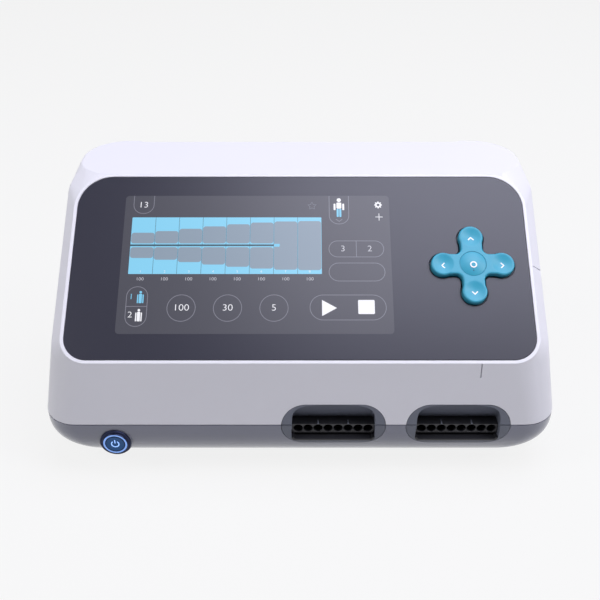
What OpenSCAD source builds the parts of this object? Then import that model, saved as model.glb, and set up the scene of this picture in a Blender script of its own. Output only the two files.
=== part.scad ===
// Table-top compression therapy pump with two eight-way air connectors, a tilted glass panel with a
// touch display, a rocking key pad and a lit power switch.
// Frame: +Z up, front towards -Y, origin on the table under the centre of the whole box. Millimetres.

/* [Casing] */
// Depth of the casing at its parting line
body_d = 158; // [156:1:168]
// Height of the lower casing without its feet
base_h = 35; // [34:0.5:38]
// Straight lip of the lower casing above its tucked-under radius
base_lip = 5; // [4:0.5:7]
// Height of the front wall, from the parting line to the bevel
front_h = 28.6; // [27:0.2:34]
// How far the front wall leans back up to the bevel
front_lean = 5; // [4:0.5:6]
// How far each side wall leans in up to the bevel
side_lean = 7.3; // [6.5:0.2:8.5]
// How far the rear wall leans in up to the shelf
rear_lean = 2.7; // [2:0.1:4]
// Thickness of the casing walls
wall = 2.6; // [2.2:0.1:3]
// Plan radius of the front corners
corner_front = 20; // [18:1:23]
// Plan radius of the rear corners
corner_rear = 30; // [26:1:33]
// Radius of the shelf's rear corners
shelf_r = 26; // [22:1:29]
// How far the shelf's sides lie inside the bevel
shelf_in = 3.5; // [2:0.5:5]
// Depth of the recess in the rear wall
recess_d = 3.9; // [3:0.1:4.5]
// Clearance between the rear panel and each end of the rear recess's flat
recess_gap = 8; // [5:1:11]
// Width over which each end of the rear recess runs out
recess_run = 9; // [6:1:12]
// Height of the rear recess's lower edge above the parting line
recess_up = 5; // [3:0.5:6]

/* [Glass panel] */
// Tilt of the panel from level
panel_tilt = 35.6; // [34:0.2:37]
// Width of the bright rim round the glass
rim_w = 2.2; // [1.8:0.1:3]
// Width of the bevel outside the rim, along the panel
bevel_out = 6.3; // [5.5:0.1:7]
// Drop of the bevel, square to the panel
bevel_drop = 5.9; // [5:0.1:7]
// Radius of the two lower corners of the glass
glass_r_low = 13.5; // [10:0.5:18]
// Radius of the two upper corners of the glass
glass_r_top = 20; // [14:0.5:24]
// Thickness of the glass
glass_t = 1.8; // [1.1:0.1:2.4]
// Thickness of the gasket under the glass
gasket_t = 0.3; // [0.2:0.05:0.6]
// Width of the gasket under the glass
gasket_w = 4.5; // [3:0.5:5]
// Gap round the glass in its pocket
glass_gap = 0.15; // [0.1:0.05:0.3]

/* [Display] */
// Width of the lit area
screen_w = 154.2; // [150:0.2:156]
// Height of the lit area, up the slope
screen_l = 85.9; // [80:0.1:88]
// Distance from the left edge of the glass to the lit area
screen_left = 28.1; // [26:0.1:30]
// Distance from the lower edge of the glass to the lit area
screen_up = 15; // [14:0.5:17]
// Distance from the lit area to the upper edge of the glass
screen_down = 12.66; // [12:0.02:16]
// Border of the display module outside its lit area
module_rim = 5.4; // [4:0.1:6]
// Thickness of the display module
module_t = 5; // [4:0.5:6]
// Thickness of the steel bracket behind the display
bracket_t = 1; // [0.8:0.1:1.5]

/* [Key pad] */
// Distance from the lit area to the centre of the key pad
pad_left = 45.7; // [44:0.1:48]
// Distance from the right edge of the glass to the centre of the key pad
pad_right = 32.4; // [31:0.2:35]
// Distance from the lower edge of the glass to the centre of the key pad
pad_up = 56; // [50:1:60]
// Distance from the centre of the key pad to the centre of a lobe
lobe_x = 16.6; // [16:0.2:17.4]
// Radius of a lobe
lobe_r = 7; // [6.5:0.1:7.4]
// Width of the neck between the centre and a lobe
neck_w = 12.4; // [11:0.2:13]
// Radius of the fillets between the arms
neck_fillet = 3.5; // [2:0.25:4]
// Height of the cross above the glass
cross_h = 3.2; // [2.5:0.1:4]
// Depth of the dish in each lobe
dish_d = 1.1; // [0.6:0.1:1.4]
// Radius of the dish in each lobe
dish_r = 6.2; // [5:0.1:6.4]
// Gap round the cross in the glass
cross_gap = 0.8; // [0.7:0.05:1]
// Radius of the centre key
center_r = 7.5; // [7.3:0.05:7.6]
// Gap round the centre key
center_gap = 0.2; // [0.15:0.05:0.3]
// Travel of the centre key
center_travel = 1; // [0.6:0.1:1.2]

/* [Power switch] */
// Distance from the left side of the casing to the power switch
switch_in = 41.1; // [36:0.1:46]
// Depth of the power switch below the parting line
switch_drop = 13.5; // [12.5:0.5:14]
// Diameter of the switch body
switch_d = 16; // [14:0.5:16]
// Diameter of the switch flange
switch_flange_d = 17.6; // [17:0.2:20]
// Length of the switch body behind its flange
switch_len = 24; // [20:1:30]
// Thickness of the switch flange
switch_flange_t = 1; // [0.8:0.1:1.4]
// How far the lit face stands out of the flange
switch_face_h = 1; // [0.6:0.1:1.4]
// Diameter of the moving cap
switch_cap_d = 10.4; // [9:0.2:10.8]
// Travel of the cap
switch_travel = 1.5; // [1:0.1:2]
// Depth of the round boss that carries the switch
switch_boss_d = 9; // [8.5:0.5:12]

/* [Air connectors] */
// Distance from the middle of the casing to the right connector
port_right_x = 88.9; // [88:0.1:90]
// Distance between the two connectors
port_pitch = 70.1; // [69.5:0.1:72]
// Width of a connector bezel
port_w = 58.6; // [57.6:0.2:59.4]
// Height of a connector bezel
port_h = 27.4; // [26.8:0.2:28]
// How far the middle of the bezel lies below the parting line
port_drop = 1.8; // [1.4:0.1:2.2]
// Depth of a connector bezel
port_depth = 14; // [12.5:0.5:16]
// Gap round a bezel in the casing
port_gap = 0.15; // [0.1:0.05:0.3]
// Rim of the bezel under the connector block
port_lip = 0.9; // [0.8:0.05:1.2]
// Width of a connector block
block_w = 47; // [46.6:0.1:48]
// Length of a connector block
block_len = 22; // [20:0.5:26]
// Top of a connector block below the parting line
block_drop = 3.6; // [3.4:0.1:4]
// How far the block's face lies behind the front of the casing
block_set = 4; // [3:0.5:5]
// Radius of an air outlet
outlet_r = 2.55; // [2.4:0.05:2.6]
// Depth of an air outlet
outlet_len = 16; // [12:0.5:17]
// Distance between neighbouring air outlets
outlet_pitch = 5.7; // [5.6:0.05:5.75]
// Depth of the outlets' axes below the top of the block
outlet_drop = 3.2; // [3:0.1:3.6]
// Number of outlets in a connector
outlets = 8; // [6:1:8]

/* [Air system] */
// Outer radius of a chamber hose
hose_r = 2.4; // [2.2:0.1:2.6]
// Length of a chamber hose
hose_len = 12; // [11:1:14]
// Depth of a valve manifold
manifold_d = 27; // [25:1:28]
// Height of a valve manifold
manifold_h = 14; // [13:1:16]
// Height of a solenoid valve
valve_h = 24; // [20:1:28]
// Length of the hose from a pump to its manifold
feed_len = 8; // [7:1:10]
// Width of an air pump
pump_w = 54; // [50:1:56]
// Clearance behind the intake filters of the pumps
pump_clear = 4.8; // [3:0.1:8]
// Height of an air pump
pump_h = 46; // [42:1:50]
// Thickness of an end head of a pump
head_t = 8; // [6:0.5:8]
// Height of the rubber mounts under a pump
mount_h = 6; // [5:0.5:7]
// Travel of a pump's armature each way
stroke = 1.5; // [1:0.1:2]

/* [Boards] */
// Width of the two large circuit boards
board_w = 98; // [94:1:98]
// Depth of the two large circuit boards
board_d = 62; // [58:1:64]
// Thickness of every circuit board
board_t = 1.6; // [1.2:0.2:2]
// Gap between the boards and the left pump
board_clear = 9.8; // [8:0.2:12]
// Margin that the components keep from the edge of a board
part_in = 11; // [10.5:0.5:12]
// Gap between neighbouring components
part_gap = 2; // [1.5:0.5:2.5]
// Width of the transformer
transformer_w = 32; // [28:1:33]
// Depth of the transformer
transformer_d = 28; // [24:1:29]
// Radius of the tall capacitors and of the choke
capacitor_r = 8; // [6:0.5:8.5]
// Width of the heat sink
heat_sink_w = 26; // [22:1:27]
// Thickness of the heat sink
heat_sink_t = 6; // [4:0.5:8]
// Side of the main processor
processor_w = 16; // [12:1:18]
// Side of a memory chip
chip_w = 12; // [9:0.5:12.5]
// Width of a plug header
header_w = 12; // [10:0.5:13]
// Depth of a plug header
header_d = 6; // [5:0.5:7]
// Side of a pressure sensor
sensor_w = 7; // [6:0.25:7.5]
// Height of the lower board above the casing floor
board_low = 8; // [6:0.5:10]
// Length of the standoffs between the two boards
standoff_len = 45; // [42:1:48]

/* [Rear panel] */
// Half width of the rear panel
rear_hw = 92; // [88:1:94]
// Height of the rear panel
rear_h = 86; // [84:1:88]
// Height of the rear panel's lower edge above the parting line
rear_up = 8; // [7:0.5:10]
// Thickness of the rear panel
rear_t = 2; // [1.5:0.1:2.5]
// Distance from the middle to the mains inlet
inlet_x = 58; // [54:1:60]
// Travel of the fuse drawer
drawer_travel = 18; // [12:1:18]
// Distance from the middle to the fan
fan_x = 58; // [54:1:62]
// Side of the square fan frame
fan_w = 40; // [38:0.5:42]
// Depth of the fan frame
fan_t = 10; // [9:0.5:12]

/* [Feet and screws] */
// Height of the rubber feet
foot_h = 3; // [2.5:0.1:4]
// Radius of the rubber feet
foot_r = 8; // [6:0.5:9]
// Radius of the casing screws
screw_r = 1.75; // [1.5:0.05:2]
// Length of the casing screws under their heads
screw_len = 28; // [24:1:30]

/* [Hidden] */

$fn = 48;
hull_fn = 32;
hull_step = 7.5;    // angle between points on the corners of a casing form
eps = 0.5;          // overshoot of cuts past a face
run_gap = 0.05;     // radial gap of a pin or shaft in its bore
tuck_r = 0.3;       // growth of the corner radii per millimetre that the lower casing tucks under
edge_t = 0.3;       // thickness of the outline slabs that the upper casing is stretched over

// Heights and the front and rear planes
z_base = foot_h;
z_part = z_base + base_h;
z_floor = z_base + wall;
base_round = base_h - base_lip;
switch_proud = switch_flange_t + switch_face_h;
y_front = -(body_d - switch_proud) / 2;
y_rear = y_front + body_d;

// Panel frame: x to the right, y up the slope from the lower edge of the glass, z out of the glass.
// The display and the key pad set the width of the glass, and the glass sets the width of the casing
glass_hw = (screen_left + screen_w + pad_left + pad_right) / 2;
rim_hw = glass_hw + rim_w;
band_hw = rim_hw + bevel_out;
body_w = 2 * (band_hw + side_lean);
glass_l = screen_up + screen_l + screen_down;
y_panel = y_front + front_lean + (bevel_out + rim_w) * cos(panel_tilt) - bevel_drop * sin(panel_tilt);
z_panel = z_part + front_h + (bevel_out + rim_w) * sin(panel_tilt) + bevel_drop * cos(panel_tilt);
y_shelf = y_panel + (glass_l + rim_w) * cos(panel_tilt);
z_top = z_panel + (glass_l + rim_w) * sin(panel_tilt);
shelf_hw = band_hw - shelf_in;
band_r_top = glass_r_top - 6;
pocket_d = glass_t + gasket_t;
ledge_z = -pocket_d - wall;

// Rear recess
y_recess = y_rear - rear_lean - recess_d;
z_rear = z_part + rear_up;
z_rear_mid = z_rear + rear_h / 2;
rear_margin = 6;    // width of the recess face that the rear panel rests on
rear_screw_in = 3.5;
rear_screw_r = 1.5;

// Display
screen_x = screen_left + screen_w / 2 - glass_hw;
screen_y = screen_up + screen_l / 2;
module_w = screen_w + 2 * module_rim;
module_l = screen_l + 2 * module_rim + 1.2;
module_gap = 0.4;
module_z = -glass_t - module_t;
ear_w = 8;
ear_x = module_w / 2 + ear_w / 2 + 0.5;
ear_y = 36;
ear_boss_r = 3;
small_screw_r = 1.25;
display_screws_z = ledge_z + 1.2;

// Key pad, below the glass
pad_x = glass_hw - pad_right;
cross_low = -1.5;
// Radius of a sphere that cuts a dish of the given radius and depth
function dish_sphere(r, d) = (r * r + d * d) / (2 * d);
pivot_z = -8;
skirt_r = 8.2;
skirt_in = 6.9;
gimbal_in = skirt_r + 0.5;
gimbal_r = gimbal_in + 2.1;
gimbal_h = 3;
pin_r = 1;
base_hole = gimbal_r + 1.2;
bearing_r = base_hole + 2.5;
bearing_low = pivot_z - 2.5;
base_t = 2;
base_side = 56;
pad_board_side = base_side - 4;
base_post = 23;
plunger_x = 18.5;
plunger_r = 1.5;
plunger_low = -12;
membrane_z = -14.5;
membrane_t = 1;
dome_h = 1;
keyboard_z = membrane_z - membrane_t - board_t;
pad_screw_r = 1.1;
pad_screw_top = ledge_z + 1.8;
center_edge = 3;      // height of the rim of the centre key
center_dome_h = 1.4;  // rise of its domed face above the rim
center_stem_r = 3;
center_stem_low = membrane_z + dome_h + center_travel + 0.6;

// Power switch
switch_x = body_w / 2 - switch_in;
z_switch = z_part - switch_drop;
switch_boss_r = switch_flange_d / 2 + 0.6;
light_in = switch_cap_d / 2 + 0.5;
light_out = light_in + 1.1;
light_d = 1.2;
switch_rim = light_out + 0.6;
cap_len = 6;
nut_t = 3;

// Air connectors
port_x = [port_right_x - port_pitch, port_right_x];
block_h = port_h / 2 + port_drop - port_lip - block_drop;
y_block = y_front + block_set;
y_block_rear = y_block + block_len;
z_outlet = z_part - block_drop - outlet_drop;
scoop_back = 10.7;
scoop_rise = 13.5;
scoop_top_y = 1.2;
scoop_r = 3;
pip_len = 3.2;
lip_in = 0.8;
lip_t = 1.1;
nipple_r = 1.45;
nipple_bore = 0.8;
nipple_len = 5;

// Air system
y_manifold = y_block_rear + hose_len;
y_manifold_rear = y_manifold + manifold_d;
z_manifold = z_outlet - manifold_h / 2;
manifold_w = outlets * outlet_pitch + 4;
manifold_ear = 8;
post_dx = manifold_w / 2 + manifold_ear / 2;
post_r = 4;
post_y = y_manifold + manifold_d / 2;
gallery_r = 2.5;
valve_cols = 4;
valve_rows = 2;
valve_w = 10.6;
valve_d = 11;
valve_dx = 12;
valve_dy = 12.8;
feed_r = 3;
feed_bore = 2;
feed_hose_r = 4.5;
y_pump = y_manifold_rear + feed_len;
filter_r = 8;
filter_t = 5;
pump_len = y_recess - wall - pump_clear - filter_t - 2 * head_t - y_pump;
y_pump_rear = y_pump + 2 * head_t + pump_len;
z_pump = z_floor + mount_h;
z_rod = z_pump + pump_h / 2;
pump_wall = 4;
chamber_r = 15;
partition_t = 3;
rod_r = 2.5;
disc_r = 13.5;
disc_t = 1.5;
chamber_d = disc_t + 2 * stroke + 1.5;
magnet_w = 12;
coil_gap = 2;
coil_len = pump_len - 2 * (chamber_d + partition_t + 1);
magnet_len = coil_len - 2 * stroke - 3;
coil_h = 28;
mount_r = 6;
mount_dx = 14;
mount_in = 7;
intake_r = 2;

// Boards
board_x = port_x[0] - pump_w / 2 - board_clear - board_w / 2;
board_y = (y_front + y_rear) / 2 + 8;
z_board = z_floor + board_low;
z_main = z_board + board_t + standoff_len;
hole_in = 5;
board_hole_r = 1.55;
stud_r = 1.5;
stud_len = 6;
standoff_r = 3.5;
board_post_r = 4;
screw_head_r = 2.8;
screw_head_t = 1.8;
transformer_h = 26;
transformer_x = part_in + transformer_w / 2 - board_w / 2;
transformer_y = part_in + transformer_d / 2 - board_d / 2;
capacitor_x = transformer_x + transformer_w / 2 + part_gap + capacitor_r;
recess_hw = rear_hw + recess_gap;

// Rear panel parts
fan_hole = fan_w / 2 - 1;
z_fan = z_rear_mid + 9;
y_fan = y_recess - fan_t;
fan_plate_t = 1.6;
fan_pin_r = 1.5;
fan_hub_r = 8;
blades = 7;
blade_tip = fan_hole - 0.8;
inlet_w = 27.4;
inlet_h = 45.4;
inlet_depth = 30;
flange_w = 31;
flange_h = 50;
flange_t = 2.5;
z_inlet = z_rear_mid;
y_flange = y_recess + rear_t + flange_t;
socket_w = 24;
socket_h = 16.6;
socket_d = 17;
socket_cut = 5;
socket_z = z_inlet - 10;
blade_w = 2;
blade_h = 4;
blade_dx = 7;
drawer_w = 22;
drawer_h = 9;
drawer_d = drawer_travel + 2;
drawer_z = z_inlet + 12;
drawer_gap = 0.1;
fuse_r = 2.5;
fuse_len = 18;

// Casing screws
casing_screw_x = band_hw - 7.7;
casing_screw_ys = [y_front + corner_front + 2, y_rear - corner_rear - 4];
lower_boss_r = 5.2;
upper_boss_r = 4.5;
upper_boss_h = 20;
z_seat = z_part - 14;
screw_gap = 0.05;
casing_head_r = 3.3;
casing_head_t = 3;
foot_xs = body_w / 2 - base_round - foot_r - 12;
foot_ys = [y_front + base_round + foot_r + 2, y_rear - base_round - foot_r - 8];
vent_w = 3;
vent_gap = 6;

casing_white = [0.90, 0.90, 0.93];
casing_grey = [0.43, 0.44, 0.48];
port_grey = [0.30, 0.30, 0.35];
key_blue = [0.34, 0.72, 0.87];
board_green = [0.10, 0.35, 0.22];

// ---------------------------------------------------------------- shared shapes

module on_panel() translate([0, y_panel, z_panel]) rotate([panel_tilt, 0, 0]) children();

module at_pad() on_panel() translate([pad_x, pad_up, 0]) children();

// Everything behind this faces -Y: the profile's y becomes height, and it runs back from y = 0
module facing_front(depth) rotate([90, 0, 0]) mirror([0, 0, 1]) linear_extrude(depth) children();

module bar(ro, depth) rotate([-90, 0, 0]) cylinder(r = ro, h = depth);

module pipe(ro, ri, depth) rotate([-90, 0, 0]) difference() {
    cylinder(r = ro, h = depth);
    translate([0, 0, -eps]) cylinder(r = ri, h = depth + 2 * eps);
}

module box_on(w, d, h) translate([-w / 2, -d / 2, 0]) cube([w, d, h]);

module rounded2d(w, h, r) {
    square([w - 2 * r, h], center = true);
    square([w, h - 2 * r], center = true);
    for (sx = [-1, 1], sy = [-1, 1])
        translate([sx * (w / 2 - r), sy * (h / 2 - r)]) circle(r = r);
}

// The glass, grown by c, from its lower edge up; its upper corners are rounder than its lower ones
module glass2d(c) {
    hw = glass_hw + c;
    low = glass_r_low + c;
    top = glass_r_top + c;
    translate([-hw, low - c]) square([2 * hw, glass_l + 2 * c - low - top]);
    translate([low - hw, -c]) square([2 * (hw - low), low + eps]);
    translate([top - hw, glass_l + c - top - eps]) square([2 * (hw - top), top + eps]);
    for (s = [-1, 1]) {
        translate([s * (hw - low), low - c]) circle(r = low);
        translate([s * (hw - top), glass_l + c - top]) circle(r = top);
    }
}

module stadium2d(w, h) {
    square([w - h, h], center = true);
    for (s = [-1, 1]) translate([s * (w - h) / 2, 0]) circle(r = h / 2);
}

// A quarter circle of points from angle a0
function quarter(x, y, r, a0) = [for (a = [0:hull_step:90]) [x + r * cos(a0 + a), y + r * sin(a0 + a)]];

// Outline of a casing: half width, front, rear, and the radii of its front and rear corners
function outline(hw, y0, y1, r0, r1) = concat(
    quarter(hw - r1, y1 - r1, r1, 0), quarter(r1 - hw, y1 - r1, r1, 90),
    quarter(r0 - hw, y0 + r0, r0, 180), quarter(hw - r0, y0 + r0, r0, 270));

// A thin slab of an outline; hull() stretches the upper casing over four of these
module slab(points) linear_extrude(edge_t) polygon(points);

// A closed solid through a stack of outlines at the given heights, lowest first
module stack(heights, outlines) {
    n = len(outlines[0]);
    rows = len(outlines);
    polyhedron(
        points = [for (r = [0:rows - 1], p = outlines[r]) [p[0], p[1], heights[r]]],
        faces = concat([[for (k = [0:n - 1]) k], [for (k = [n - 1:-1:0]) (rows - 1) * n + k]],
            [for (r = [0:rows - 2], k = [0:n - 1])
                [r * n + k, (r + 1) * n + k, (r + 1) * n + (k + 1) % n]],
            [for (r = [0:rows - 2], k = [0:n - 1])
                [r * n + k, (r + 1) * n + (k + 1) % n, r * n + (k + 1) % n]]));
}

// Upper casing as a solid, drawn in by t. The inside also clears the rear recess and the glass pocket
module upper_form(t, z_low, rear = 0, top = 0) hull() {
    translate([0, 0, z_low])
        slab(outline(body_w / 2 - t, y_front + t, y_rear - t - rear, corner_front - t, corner_rear - t));
    on_panel() {
        translate([0, 0, -bevel_drop - edge_t - top / 2])
            slab(outline(band_hw - t, t - rim_w - bevel_out, glass_l + rim_w + bevel_out - t,
                glass_r_low + rim_w + bevel_out - t, band_r_top - t));
        translate([0, 0, -edge_t - top])
            slab(outline(rim_hw - t, t - rim_w, glass_l + rim_w - t,
                glass_r_low + rim_w - t, glass_r_top + rim_w - t));
    }
    translate([0, 0, z_top - t - edge_t])
        slab(outline(shelf_hw - t, y_shelf + (top - t * cos(panel_tilt)) / sin(panel_tilt),
            y_rear - rear_lean - t - rear + min(rear, rear_lean), glass_r_top, shelf_r - t));
}

// Lower casing as a solid, drawn in by t: a straight lip, then a quarter-round tuck under
module lower_form(t, z_high) {
    turns = [90:-15:0];
    drawn = [for (a = turns) t + (base_round - t) * (1 - cos(a))];
    tucked = [for (d = drawn) outline(body_w / 2 - d, y_front + d, y_rear - d,
        corner_front + tuck_r * d, corner_rear + tuck_r * d)];
    lip = outline(body_w / 2 - t, y_front + t, y_rear - t, corner_front - t, corner_rear - t);
    stack(concat([for (a = turns) z_part - base_lip - (base_round - t) * sin(a)], [z_high]),
        concat(tucked, [lip]));
}

// Outline of the key pad cross, grown by c
module cross2d(c) {
    fillet = neck_fillet - c;
    core = neck_w / 2 + c + fillet;
    for (a = [0:90:270]) rotate(a) {
        translate([lobe_x, 0]) circle(r = lobe_r + c);
        translate([0, -neck_w / 2 - c]) square([lobe_x, neck_w + 2 * c]);
    }
    difference() {
        square(2 * core, center = true);
        for (sx = [-1, 1], sy = [-1, 1]) translate([sx * core, sy * core]) circle(r = fillet);
    }
}

module at_port(i) translate([port_x[i], y_front, z_part]) children();

// The stadium cut or bezel of connector i, grown by c, from depth y0 to y1
module port_prism(i, c, y0, y1) at_port(i) translate([0, y0, -port_drop])
    facing_front(y1 - y0) stadium2d(port_w + 2 * c, port_h + 2 * c);

// Cross-section of a connector block, grown by c
module block2d(c) intersection() {
    translate([-block_w / 2 - c, -block_drop - block_h - c]) square([block_w + 2 * c, block_h + 2 * c]);
    translate([0, -port_drop]) stadium2d(port_w - 2 * port_lip + 2 * c, port_h - 2 * port_lip + 2 * c);
}

// The scooped hollow over the block, and the window that the block sits in
module port_void(i) at_port(i) {
    hull() for (s = [-1, 1]) {
        translate([s * (block_w / 2 - scoop_r), scoop_back - scoop_r, -block_drop])
            cylinder(r = scoop_r, h = edge_t, $fn = hull_fn);
        translate([s * (block_w / 2 - 1), -2, -block_drop]) cylinder(r = 1, h = edge_t, $fn = hull_fn);
        translate([s * (block_w / 2 - scoop_r - 2), scoop_top_y - scoop_r, scoop_rise])
            cylinder(r = scoop_r, h = edge_t, $fn = hull_fn);
    }
    translate([0, -2, 0]) facing_front(port_depth + 4) block2d(port_gap);
}

// ---------------------------------------------------------------- casing

module casing_screw_places() for (s = [-1, 1], y = casing_screw_ys)
    translate([s * casing_screw_x, y, 0]) children();

module rear_screw_places() for (sx = [-1, 1], sz = [-1, 1])
    translate([sx * (rear_hw - rear_screw_in), y_recess, z_rear_mid + sz * (rear_h / 2 - rear_screw_in)])
        children();

module display_ear_places() on_panel() for (sx = [-1, 1], sy = [-1, 1])
    translate([screen_x + sx * ear_x, screen_y + sy * ear_y, 0]) children();

module pad_post_places() at_pad() for (sx = [-1, 1], sy = [-1, 1])
    translate([sx * base_post, sy * base_post, 0]) children();

module upper_casing() color(casing_white) difference() {
    union() {
        difference() {
            upper_form(0, z_part);
            upper_form(wall, z_part - eps, rear = rear_lean + recess_d, top = -ledge_z);
        }
        casing_screw_places() translate([0, 0, z_part]) cylinder(r = upper_boss_r, h = upper_boss_h);
        for (s = [-1, 1]) {
            front_rib = body_w / 2 - side_lean * upper_boss_h / front_h - 1.2;
            rear_rib = body_w / 2 - side_lean * upper_boss_h / (z_top - z_part) - 1.2;
            for (rib = [[casing_screw_ys[0], front_rib], [casing_screw_ys[1], rear_rib]])
                translate([s * (casing_screw_x + rib[1]) / 2, rib[0], z_part])
                    box_on(rib[1] - casing_screw_x, 2, upper_boss_h);
        }
        display_ear_places() translate([0, 0, module_z])
            cylinder(r = ear_boss_r, h = ledge_z - module_z + eps);
        rear_screw_places() translate([0, -wall - 5, 0]) bar(3.2, 5 + eps);
    }
    // Glass pocket, display window and key pad opening
    on_panel() {
        translate([0, 0, -pocket_d]) linear_extrude(pocket_d + eps) glass2d(glass_gap);
        translate([screen_x, screen_y, ledge_z - eps]) linear_extrude(wall + 2 * eps)
            square([module_w + 2 * module_gap, module_l + 2 * module_gap], center = true);
    }
    at_pad() translate([0, 0, ledge_z - eps]) linear_extrude(wall + 2 * eps) cross2d(cross_gap);
    // Rear recess and the opening behind the rear panel
    translate([0, 0, z_part + recess_up]) linear_extrude(z_top - z_part) polygon([
        [-recess_hw, y_recess], [recess_hw, y_recess],
        [recess_hw + recess_run, y_rear + 1], [-recess_hw - recess_run, y_rear + 1]]);
    translate([-rear_hw + rear_margin, y_recess - wall - eps, z_rear + rear_margin])
        cube([2 * (rear_hw - rear_margin), wall + 2 * eps, rear_h - 2 * rear_margin]);
    for (i = [0, 1]) port_prism(i, port_gap, -2, port_depth + 2);
    // Screw holes
    casing_screw_places() translate([0, 0, z_part - eps])
        cylinder(r = screw_r + screw_gap, h = upper_boss_h - 2 + eps);
    display_ear_places() translate([0, 0, module_z - eps])
        cylinder(r = small_screw_r + screw_gap, h = display_screws_z - module_z + eps);
    pad_post_places() translate([0, 0, ledge_z - eps])
        cylinder(r = pad_screw_r + screw_gap, h = pad_screw_top - ledge_z + eps);
    rear_screw_places() translate([0, -wall - 4, 0]) bar(rear_screw_r + screw_gap, wall + 4 + eps);
}

module board_post_places() for (sx = [-1, 1], sy = [-1, 1])
    translate([board_x + sx * (board_w / 2 - hole_in), board_y + sy * (board_d / 2 - hole_in), 0])
        children();

module manifold_post_places() for (x = port_x, s = [-1, 1])
    translate([x + s * post_dx, post_y, 0]) children();

module lower_casing() color(casing_grey) difference() {
    union() {
        difference() {
            lower_form(0, z_part);
            lower_form(wall, z_part + eps + edge_t);
        }
        intersection() {
            lower_form(0, z_part);
            union() {
                casing_screw_places() translate([0, 0, z_base]) cylinder(r = lower_boss_r, h = base_h);
                board_post_places() translate([0, 0, z_base])
                    cylinder(r = board_post_r, h = wall + board_low);
                manifold_post_places() translate([0, 0, z_base])
                    cylinder(r = post_r, h = z_manifold - z_base);
            }
        }
        translate([-switch_x, y_front, z_switch]) bar(switch_boss_r, switch_boss_d);
    }
    for (i = [0, 1]) port_prism(i, port_gap, -2, port_depth + 2);
    translate([-switch_x, y_front - eps, z_switch]) bar(switch_d / 2 + screw_gap, switch_boss_d + 2 * eps);
    casing_screw_places() {
        translate([0, 0, z_seat - eps]) cylinder(r = screw_r + screw_gap, h = z_part - z_seat + 2 * eps);
        translate([0, 0, -eps]) cylinder(r = casing_head_r + 0.2, h = z_seat + eps);
    }
    board_post_places() translate([0, 0, z_board - stud_len - 1])
        cylinder(r = board_hole_r, h = stud_len + 1 + eps);
    manifold_post_places() translate([0, 0, z_manifold - 10])
        cylinder(r = small_screw_r + screw_gap, h = 10 + eps);
    // Cooling slots in the floor under the power supply
    for (k = [-4:4]) translate([board_x + k * vent_gap - vent_w / 2, board_y - 18, z_base - eps])
        cube([vent_w, 36, wall + 2 * eps]);
}

module rubber_feet() color([0.12, 0.12, 0.13]) for (s = [-1, 1], y = foot_ys)
    translate([s * foot_xs, y, 0]) {
        cylinder(r1 = foot_r - 0.5, r2 = foot_r, h = 0.5);
        translate([0, 0, 0.5]) cylinder(r = foot_r, h = foot_h - 0.5);
    }

module casing_screws() color([0.72, 0.73, 0.75]) casing_screw_places() {
    translate([0, 0, z_seat]) cylinder(r = screw_r, h = screw_len);
    translate([0, 0, z_seat - casing_head_t]) difference() {
        cylinder(r = casing_head_r, h = casing_head_t);
        translate([-0.5, -2, -eps]) cube([1, 4, 1 + eps]);
        translate([-2, -0.5, -eps]) cube([4, 1, 1 + eps]);
    }
}

// ---------------------------------------------------------------- glass and display

module front_glass() color([0.24, 0.24, 0.28]) difference() {
    on_panel() translate([0, 0, -glass_t]) linear_extrude(glass_t) glass2d(0);
    at_pad() translate([0, 0, -glass_t - eps]) linear_extrude(glass_t + 2 * eps) cross2d(cross_gap);
}

module glass_gasket() color([0.08, 0.08, 0.09]) on_panel()
    translate([0, 0, -pocket_d]) linear_extrude(gasket_t) difference() {
        glass2d(-0.5);
        glass2d(-0.5 - gasket_w);
    }

module display_module() color([0.20, 0.21, 0.24]) on_panel() translate([screen_x, screen_y, module_z]) {
    linear_extrude(module_t) square([module_w, module_l], center = true);
}

module display_bracket() color([0.70, 0.71, 0.73]) difference() {
    union() {
        on_panel() translate([screen_x, screen_y, module_z - bracket_t])
            linear_extrude(bracket_t) difference() {
                square([module_w, module_l], center = true);
                square([module_w - 40, module_l - 40], center = true);
            }
        display_ear_places() translate([0, 0, module_z - bracket_t])
            linear_extrude(bracket_t) square([ear_w + 3, ear_w], center = true);
    }
    display_ear_places() translate([0, 0, module_z - bracket_t - eps])
        cylinder(r = small_screw_r + screw_gap, h = bracket_t + 2 * eps);
}

module display_screws() color([0.75, 0.76, 0.78]) display_ear_places() {
    translate([0, 0, module_z - bracket_t])
        cylinder(r = small_screw_r, h = display_screws_z - module_z + bracket_t - 0.3);
    translate([0, 0, module_z - bracket_t - 1.4]) cylinder(r = 2.4, h = 1.4);
}

// ---------------------------------------------------------------- key pad

// Rocker: four dished lobes, a round hole for the centre key, and a skirt that hangs in the gimbal
module keypad_cross() color(key_blue) at_pad() difference() {
    union() {
        translate([0, 0, cross_low]) linear_extrude(cross_h - cross_low) cross2d(0);
        translate([0, 0, pivot_z - 2]) cylinder(r = skirt_r, h = cross_low - pivot_z + 2 + eps);
        for (a = [0:90:270]) rotate(a) translate([plunger_x, 0, plunger_low])
            cylinder(r = plunger_r, h = cross_low - plunger_low + eps);
    }
    for (a = [0:90:270]) rotate(a)
        translate([lobe_x, 0, cross_h - dish_d + dish_sphere(dish_r, dish_d)])
            sphere(r = dish_sphere(dish_r, dish_d), $fn = 96);
    translate([0, 0, cross_low]) cylinder(r = center_r + center_gap, h = cross_h - cross_low + eps);
    translate([0, 0, pivot_z - 3]) cylinder(r = skirt_in, h = cross_low - pivot_z + 4);
    translate([0, -skirt_r - 1, pivot_z]) bar(pin_r + run_gap, 2 * skirt_r + 2);
}

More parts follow.
